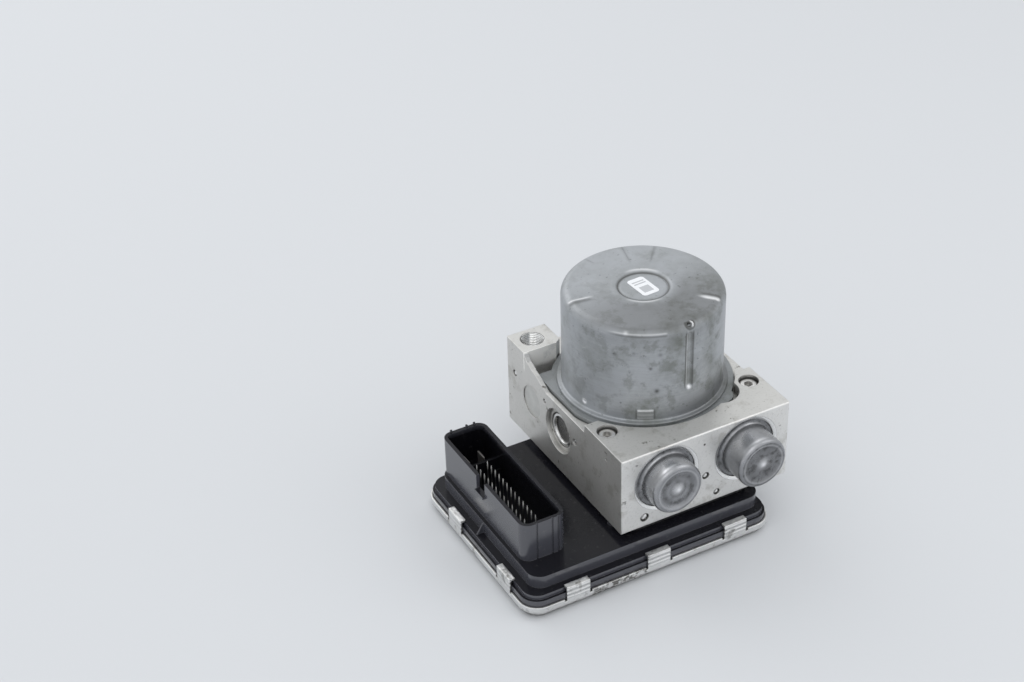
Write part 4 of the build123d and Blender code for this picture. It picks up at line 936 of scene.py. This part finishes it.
    def vent(self):
        """The vent above the groove: a hole with painted shade in it and in a ring round it, whose soft lip
        has painted shade at the left and a painted highlight at the right.
        """
        degrees = -87.4
        away = self.away(degrees, 50.6)
        right = smooth_step(self.along(degrees), 0.3, 1.3)
        self.relief += (0.08 * bump(away - 1.8, 0.35) - 1.5 * fade(away, 0.8, 1.4)) * self.on_rim
        self.dirt_and_painted_shade += (0.95 * fade(away, 0.9, 1.3) + 0.6 * bump(away - 2.4, 0.45)
                      + 0.5 * bump(away - 1.6, 0.4) * (1 - right)) * self.on_rim
        self.painted_highlight += 0.95 * bump(away - 1.6, 0.3) * right * self.on_rim

    def lance(self):
        """The rectangular lance above the flange, which leans out towards its top, with painted highlights on
        it and along its edges and painted shade at its sides.
        """
        across = np.abs(self.along(-119.6))
        level = self.up - 5.4
        inside = fade(across, 3.5, 3.9) * fade(np.abs(level), 2.3, 2.7) * self.on_wall
        self.relief += (0.35 + 0.35 * np.clip(level / 2.5, -1, 1)) * inside
        self.painted_highlight += (0.12 + 0.35 * bump(level - 2.2, 0.3) + 0.5 * bump(level + 0.3, 0.3)
                       + 0.4 * bump(level + 2.1, 0.3)) * inside
        self.dirt_and_painted_shade += 0.6 * bump(across - 4.2, 0.35) * fade(np.abs(level), 2.4, 3) * self.on_wall

    def spots(self):
        """A dimple with a painted highlight, and dark spots as (angle, height, size, depth of tone)."""
        dimple = self.away(-166, 5.0)
        self.relief -= 0.5 * fade(dimple, 0.4, 1.4) * self.on_wall
        self.painted_highlight += 0.9 * bump(dimple - 1.0, 0.5) * self.on_wall
        for degrees, level, size, tone in ((-112.0, 18.2, 1.1, 1.0), (-116.5, 30.8, 0.7, 0.9),
                                           (-111.3, 9.0, 0.5, 0.7), (-141.0, 37.5, 1.0, 0.5),
                                           (-128.0, 39.0, 0.8, 0.5), (-110.0, 38.0, 1.0, 0.5)):
            self.dirt_and_painted_shade += tone * bump(self.away(degrees, level), size) * self.on_wall


# Cups and plugs, turned from sections in millimetres


def turned_points(foot, axis, outwards, rows, turn):
    """Points turned about a line through foot along an axis, from rows of (radius, distance outwards)."""
    points = np.zeros((len(rows), len(turn), 3))
    across, up = [k for k in range(3) if k != axis]
    points[..., axis] = foot[axis] + outwards * rows[:, 1:2] * MM
    points[..., across] = foot[across] + rows[:, 0:1] * MM * np.cos(turn)
    points[..., up] = foot[up] + rows[:, 0:1] * MM * np.sin(turn)
    return points


def round_values(rows, turn):
    """Radius and distance outwards of the rows at every angle."""
    return (np.repeat(rows[:, k:k + 1], len(turn), axis=1) for k in (0, 1))


class BRAKE_OT_cups(bpy.types.Operator):
    """The accumulator cups: a turned section with a flared root, a rounded end, a dish and a nub."""
    bl_idname = "brake.cups"
    bl_label = "Accumulator cups"

    def execute(self, context):
        turn = full_turn(context.scene.brake_cups.steps_round)
        # how dark each cup's end is
        for side, darkness in (("left", 0.25), ("right", 0.85)):
            node = f"accumulator_cap_{side}"
            foot = (middle(node).x, BLOCK_LOW.y, middle(node).z)
            reach = (BLOCK_LOW.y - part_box(node)[0].y) / MM
            rows = self.section(reach)
            radius, out = round_values(rows, turn)
            at_end = out > reach - 1.6
            # painted shade in rings of the dish
            rings = 0.8 * bump(radius - 7.4, 1.4) + 0.6 * bump(radius - 3.9, 0.8)
            dirt_and_painted_shade = at_end * np.clip(rings + darkness * (radius < 11.5), 0, 1)
            # painted shade at the flared root
            dirt_and_painted_shade = np.maximum(dirt_and_painted_shade, smooth_step(radius, 13.0, 13.9))
            # painted highlights on the nub and round the dish
            painted_highlight = 0.7 * bump(radius, 2.5) + 0.5 * bump(radius, 1.2) + 0.3 * bump(radius - 10.3, 0.5)
            # a painted highlight on the rounded corner, at the top
            painted_highlight = at_end * painted_highlight + 0.9 * bump(out - reach + 2.6, 0.8) * bump(turned(turn, 105), 0.4)
            points = turned_points(foot, 1, -1, rows, turn)
            cup = lathe(f"accumulator_cup_{side}", points, dirt_and_painted_shade=dirt_and_painted_shade, painted_highlight=painted_highlight)
            show(cup, "module", finish_for("cap_metal"), "cap_metal", node)
            around = turned_points(foot, 1, -1, self.seat_section(), turn)
            seat = lathe(f"accumulator_seat_{side}", around, ring=True)
            show(seat, "module", finish_for("staked"), "block_metal")
        return {"FINISHED"}

    def section(self, reach):
        """Half section as (radius, distance out of the block): outside, staked lip and inside."""
        wall = CUP_WALL / MM
        corner = 2.0
        across = np.linspace(0, wall - corner, 44)
        out = reach - 0.75 * fade(across, 8.2, 10.4)
        out += 0.75 * np.exp(-(across / 2.6) ** 2.6)
        out -= 0.2 * bump(across - 4.4, 1.1)
        outside = list(zip(across, out))
        outside += arc((wall - corner, reach - corner), corner, 84, 0, 12)
        lip = -1.3
        flare = 1.6
        outside += [(wall, d) for d in np.linspace(reach - corner, lip + flare, 22)[1:]]
        outside += arc((wall + flare, lip + flare), flare, 180, 265, 10)[1:]
        inside = [(wall + 2.5, lip), (wall + 2.5, -2.4), (wall - 1.2, -2.4)]
        inside += [(wall - 1.2, reach - 2.1), (0, reach - 2.1)]
        return np.array(outside + inside)

    def seat_section(self):
        """The staked seat round a cup: a closed wedge whose cone faces the axis."""
        return np.array([(17.25, -0.02), (16.9, 0.0), (15.75, -0.75), (15.75, -0.9), (17.25, -0.9)])


class BRAKE_OT_plugs(bpy.types.Operator):
    """The pump plugs with their raised rim, and the domed balls that close the drillings."""
    bl_idname = "brake.plugs"
    bl_label = "Plugs"

    def execute(self, context):
        for side, outwards in (("left", -1), ("right", 1)):
            node = f"pump_plug_{side}"
            low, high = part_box(node)
            centre = (low + high) / 2
            foot = (low.x if outwards < 0 else high.x, centre.y, centre.z)
            rows = self.pump_section((high.x - low.x) / MM)
            turn = full_turn(96) * outwards
            radius, _ = round_values(rows, turn)
            # painted shade in the recess and in the groove round the rim, and a painted highlight on the rim
            dirt_and_painted_shade = 0.85 * (radius < 6.6) + 0.5 * bump(radius - 8.4, 0.3)
            painted_highlight = 0.9 * bump(radius - 7.5, 0.6)
            points = turned_points(foot, 0, outwards, rows, turn)
            plug = lathe(f"pump_plug_face_{side}", points, dirt_and_painted_shade=dirt_and_painted_shade, painted_highlight=painted_highlight)
            show(plug, "module", finish_for("plug_metal"), "plug_metal", node)
        self.balls()
        return {"FINISHED"}

    def pump_section(self, thick):
        """Half section as (radius, distance out of the plug's face), from the axis to the rim and back."""
        return np.array([(0, -1.3), (5.9, -1.3), (6.5, -1.15), (6.8, -0.3), (7.0, -0.05), (7.3, 0), (7.9, 0),
                         (8.15, -0.1), (8.3, -0.6), (8.5, -0.7), (8.9, -0.6), (8.9, -thick), (0, -thick)])

    def balls(self):
        """Each ball shows as a dome within a staked ring. The CAD plugs tell where."""
        mesh = NODES["ball_plugs"].data
        corners = np.empty(len(mesh.vertices) * 3)
        mesh.vertices.foreach_get("co", corners)
        world = np.array(NODES["ball_plugs"].matrix_world)
        corners = corners.reshape(-1, 3) @ world[:3, :3].T + world[:3, 3]
        turn = full_turn(28)
        pieces = []
        for foot, radius, axis, outwards in clusters(corners):
            rows = self.ball_section(radius)
            out = rows[:, 0:1] / radius
            # painted shade in two crescents on the dome and round the staked ring
            crescents = smooth_step(np.cos(turn - 2.4) * out, 0.15, 0.45)
            crescents += smooth_step(np.cos(turn + 0.9) * out, 0.4, 0.6)
            dirt_and_painted_shade = 0.7 * crescents * (out < 0.8) + 0.35 * (out > 0.84)
            # the ones in the sides get less painted shade than those in the front
            dirt_and_painted_shade *= 1.0 if axis == 1 else 0.12
            pieces.append(lathe("ball", turned_points(foot, axis, outwards, rows, turn), dirt_and_painted_shade=dirt_and_painted_shade))
        plugs = joined("ball_plug_domes", pieces)
        turn_outward(plugs)
        show(plugs, "module", finish_for("staked"), "plug_metal", "ball_plugs")

    def ball_section(self, radius):
        """A dome within a low staked ring, as (radius, distance out of the plug's face)."""
        dome = 0.82 * radius
        rows = [(dome * sin(t), dome * 0.6 * cos(t) - 0.4 * dome) for t in np.linspace(0, pi / 2, 9)]
        low = rows[-1][1]
        rows += [(0.86 * radius, low), (0.95 * radius, low + 0.3 * radius), (radius, low + 0.15 * radius)]
        rows += [(radius, -1.5), (0, -1.5)]
        return np.array(rows)


def clusters(corners):
    """Groups the CAD plugs' points into cylinders, as (foot, radius in millimetres, axis, outward sign)."""
    sunk = 0.5 * MM
    widest = 5.2 * MM
    found = []
    for axis, outwards, face in ((0, -1, BLOCK_LOW.x), (0, 1, BLOCK_HIGH.x), (1, -1, BLOCK_LOW.y)):
        near = corners[np.abs(corners[:, axis] - face) < sunk + 0.2 * MM]
        flat = [k for k in range(3) if k != axis]
        while len(near):
            away = np.linalg.norm(near[:, flat] - near[0, flat], axis=1)
            own = near[away < widest]
            low, high = own.min(axis=0), own.max(axis=0)
            foot = (low + high) / 2
            foot[axis] = face - outwards * sunk
            found.append((foot, (high - low)[flat].max() / 2 / MM, axis, outwards))
            near = near[away >= widest]
    return found


# Pins and threads


class BRAKE_OT_pins(bpy.types.Operator):
    """The contact pins: a square section carried up two rows of feet, drawn in to a blunt tip."""
    bl_idname = "brake.pins"
    bl_label = "Pins"

    def execute(self, context):
        low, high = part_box("signal_pins")
        taller = 1.8 * MM
        half = 0.21 * MM
        in_row = 13
        x, y = np.meshgrid((low.x + half, high.x - half), np.linspace(low.y + half, high.y - half, in_row),
                           indexing="ij")
        feet = np.stack([x.ravel(), y.ravel()], axis=-1)
        # the levels of a pin and how wide it is at each
        tip = high.z + taller
        height = np.array([low.z, tip - 1.3 * MM, tip - 0.2 * MM, tip])
        size = np.array([1.0, 1.0, 0.45, 0.25])
        square = np.array([(-1, -1), (1, -1), (1, 1), (-1, 1)]) * half
        flat = feet[:, None, None] + size[:, None, None] * square
        level = np.broadcast_to(height[:, None, None], (*flat.shape[:3], 1))
        points = np.concatenate([flat, level], axis=-1).reshape(-1, 3)
        corner = np.arange(16).reshape(4, 4)
        walls = cells(np.concatenate([corner, corner[:, :1]], axis=1))[..., [0, 3, 2, 1]].reshape(-1, 4)
        one = np.vstack([walls, corner[:1, ::-1], corner[-1:]])
        faces = (np.arange(len(feet))[:, None, None] * 16 + one).reshape(-1, 4)
        mesh = bpy.data.meshes.new("signal_pin_set")
        mesh.from_pydata(points.tolist(), [], faces.tolist())
        pins = placed("signal_pin_set", mesh)
        show(pins, "module", finish_for("pin_metal"), "pin_metal", "signal_pins")
        return {"FINISHED"}


class BRAKE_OT_threads(bpy.types.Operator):
    """A threaded sleeve in the mouth of each supply port."""
    bl_idname = "brake.threads"
    bl_label = "Port threads"

    def execute(self, context):
        top = BLOCK_HIGH.z
        y = BLOCK_HIGH.y - 8.3 * MM
        bore = 6.0 * MM
        pitch = 1.0 * MM
        tooth = 0.38 * MM
        turn = full_turn(64)
        depth = np.linspace(0.3 * MM, 12 * MM, 95)
        down, angle = np.meshgrid(depth, turn, indexing="ij")
        crest = np.abs(2 * ((down / pitch + angle / (2 * pi)) % 1) - 1)
        inner = bore - 0.02 * MM - tooth * crest * smooth_step(down, depth[0], depth[0] + pitch)
        # the sleeve's outside is plain, from the bottom up
        outer = np.full((2, len(turn)), bore + 0.05 * MM)
        radius = np.vstack([inner, outer])
        level = top - np.vstack([down, down[[-1, 0]]])
        for side, x in (("left", BLOCK_LOW.x + 9.5 * MM), ("right", BLOCK_HIGH.x - 9.5 * MM)):
            points = np.stack([x + radius * np.cos(turn), y + radius * np.sin(turn), level], axis=-1)
            sleeve = lathe(f"port_thread_{side}", points, ring=True)
            turn_outward(sleeve)
            show(sleeve, "module", finish_for("staked"), "block_metal")
        return {"FINISHED"}


# Stage


class BRAKE_OT_stage(bpy.types.Operator):
    """Pale floor, soft lights and the camera."""
    bl_idname = "brake.stage"
    bl_label = "Stage"

    def execute(self, context):
        settings = context.scene.brake_stage
        context.scene.view_settings.view_transform = "Standard"
        self.camera(settings)
        self.floor(settings)
        self.sky(settings)
        # each with its place, its size and its power
        self.lamp("Key", (-0.55, -0.75, 1.25), 1.3, 4.0)
        self.lamp("Fill", (0.9, -0.5, 0.9), 0.9, 2.5)
        self.lamp("Back", (-0.2, 1.0, 0.9), 0.9, 3.0)
        return {"FINISHED"}

    def camera(self, settings):
        """The camera from its place and three angles."""
        azimuth, elevation, roll = settings.azimuth, settings.elevation, settings.roll
        back = Vector((sin(azimuth) * cos(elevation), -cos(azimuth) * cos(elevation), sin(elevation)))
        level = Vector((cos(azimuth), sin(azimuth), 0))
        upright = back.cross(level)
        right = level * cos(roll) + upright * sin(roll)
        up = back.cross(right)
        turn = Matrix((right, up, back)).transposed().to_4x4()
        data = bpy.data.cameras.new("Camera")
        data.lens = settings.lens
        data.sensor_width = 36.0
        data.clip_start = 0.01
        camera = bpy.data.objects.new("Camera", data)
        camera.matrix_world = Matrix.Translation(Vector(settings.place)) @ turn
        bpy.context.scene.collection.objects.link(camera)
        bpy.context.scene.camera = camera

    def floor(self, settings):
        """A wide flat sheet under the cover."""
        half = 3.0
        mesh = bpy.data.meshes.new("Floor")
        mesh.from_pydata([(-half, -half, 0), (half, -half, 0), (half, half, 0), (-half, half, 0)], [],
                         [(0, 1, 2, 3)])
        floor = placed("Floor", mesh)
        mesh.materials.append(Finish("Floor", 0.0, 0.75).set(Base_Color=settings.floor_colour))

    def sky(self, settings):
        """Even light from all round."""
        world = bpy.data.worlds.new("Sky")
        world.use_nodes = True
        background = world.node_tree.nodes["Background"]
        background.inputs["Color"].default_value = (0.96, 0.98, 1.0, 1.0)
        background.inputs["Strength"].default_value = settings.sky_strength
        bpy.context.scene.world = world

    def lamp(self, name, place, size, power):
        """A square area lamp that faces the module."""
        data = bpy.data.lights.new(name, "AREA")
        data.size = size
        data.energy = power
        lamp = bpy.data.objects.new(name, data)
        lamp.location = place
        aim = Vector((0, 0, 50 * MM))
        lamp.rotation_euler = (Vector(place) - aim).to_track_quat("Z", "Y").to_euler()
        bpy.context.scene.collection.objects.link(lamp)


class BRAKE_PT_panel(bpy.types.Panel):
    """Buttons for every step."""
    bl_label = "Brake module"
    bl_idname = "BRAKE_PT_panel"
    bl_space_type = "VIEW_3D"
    bl_region_type = "UI"
    bl_category = "Brake module"

    def draw(self, context):
        for step in STEPS:
            self.layout.operator(step.bl_idname)


STEPS = (BRAKE_OT_stage, BRAKE_OT_finishes, BRAKE_OT_can, BRAKE_OT_cups, BRAKE_OT_plugs, BRAKE_OT_pins,
         BRAKE_OT_threads)
SETTINGS = {"brake_stage": StageSettings, "brake_can": CanSettings, "brake_cups": CupSettings,
            "brake_block": BlockSettings, "brake_unit": UnitSettings}
CLASSES = (*SETTINGS.values(), *STEPS, BRAKE_PT_panel)


def register():
    for kind in CLASSES:
        bpy.utils.register_class(kind)
    for name, kind in SETTINGS.items():
        setattr(bpy.types.Scene, name, PointerProperty(type=kind))


def unregister():
    for name in SETTINGS:
        delattr(bpy.types.Scene, name)
    for kind in reversed(CLASSES):
        bpy.utils.unregister_class(kind)


def main():
    """Registers everything and runs each step."""
    register()
    for step in STEPS:
        area, name = step.bl_idname.split(".")
        getattr(getattr(bpy.ops, area), name)()


if __name__ == "__main__":
    main()
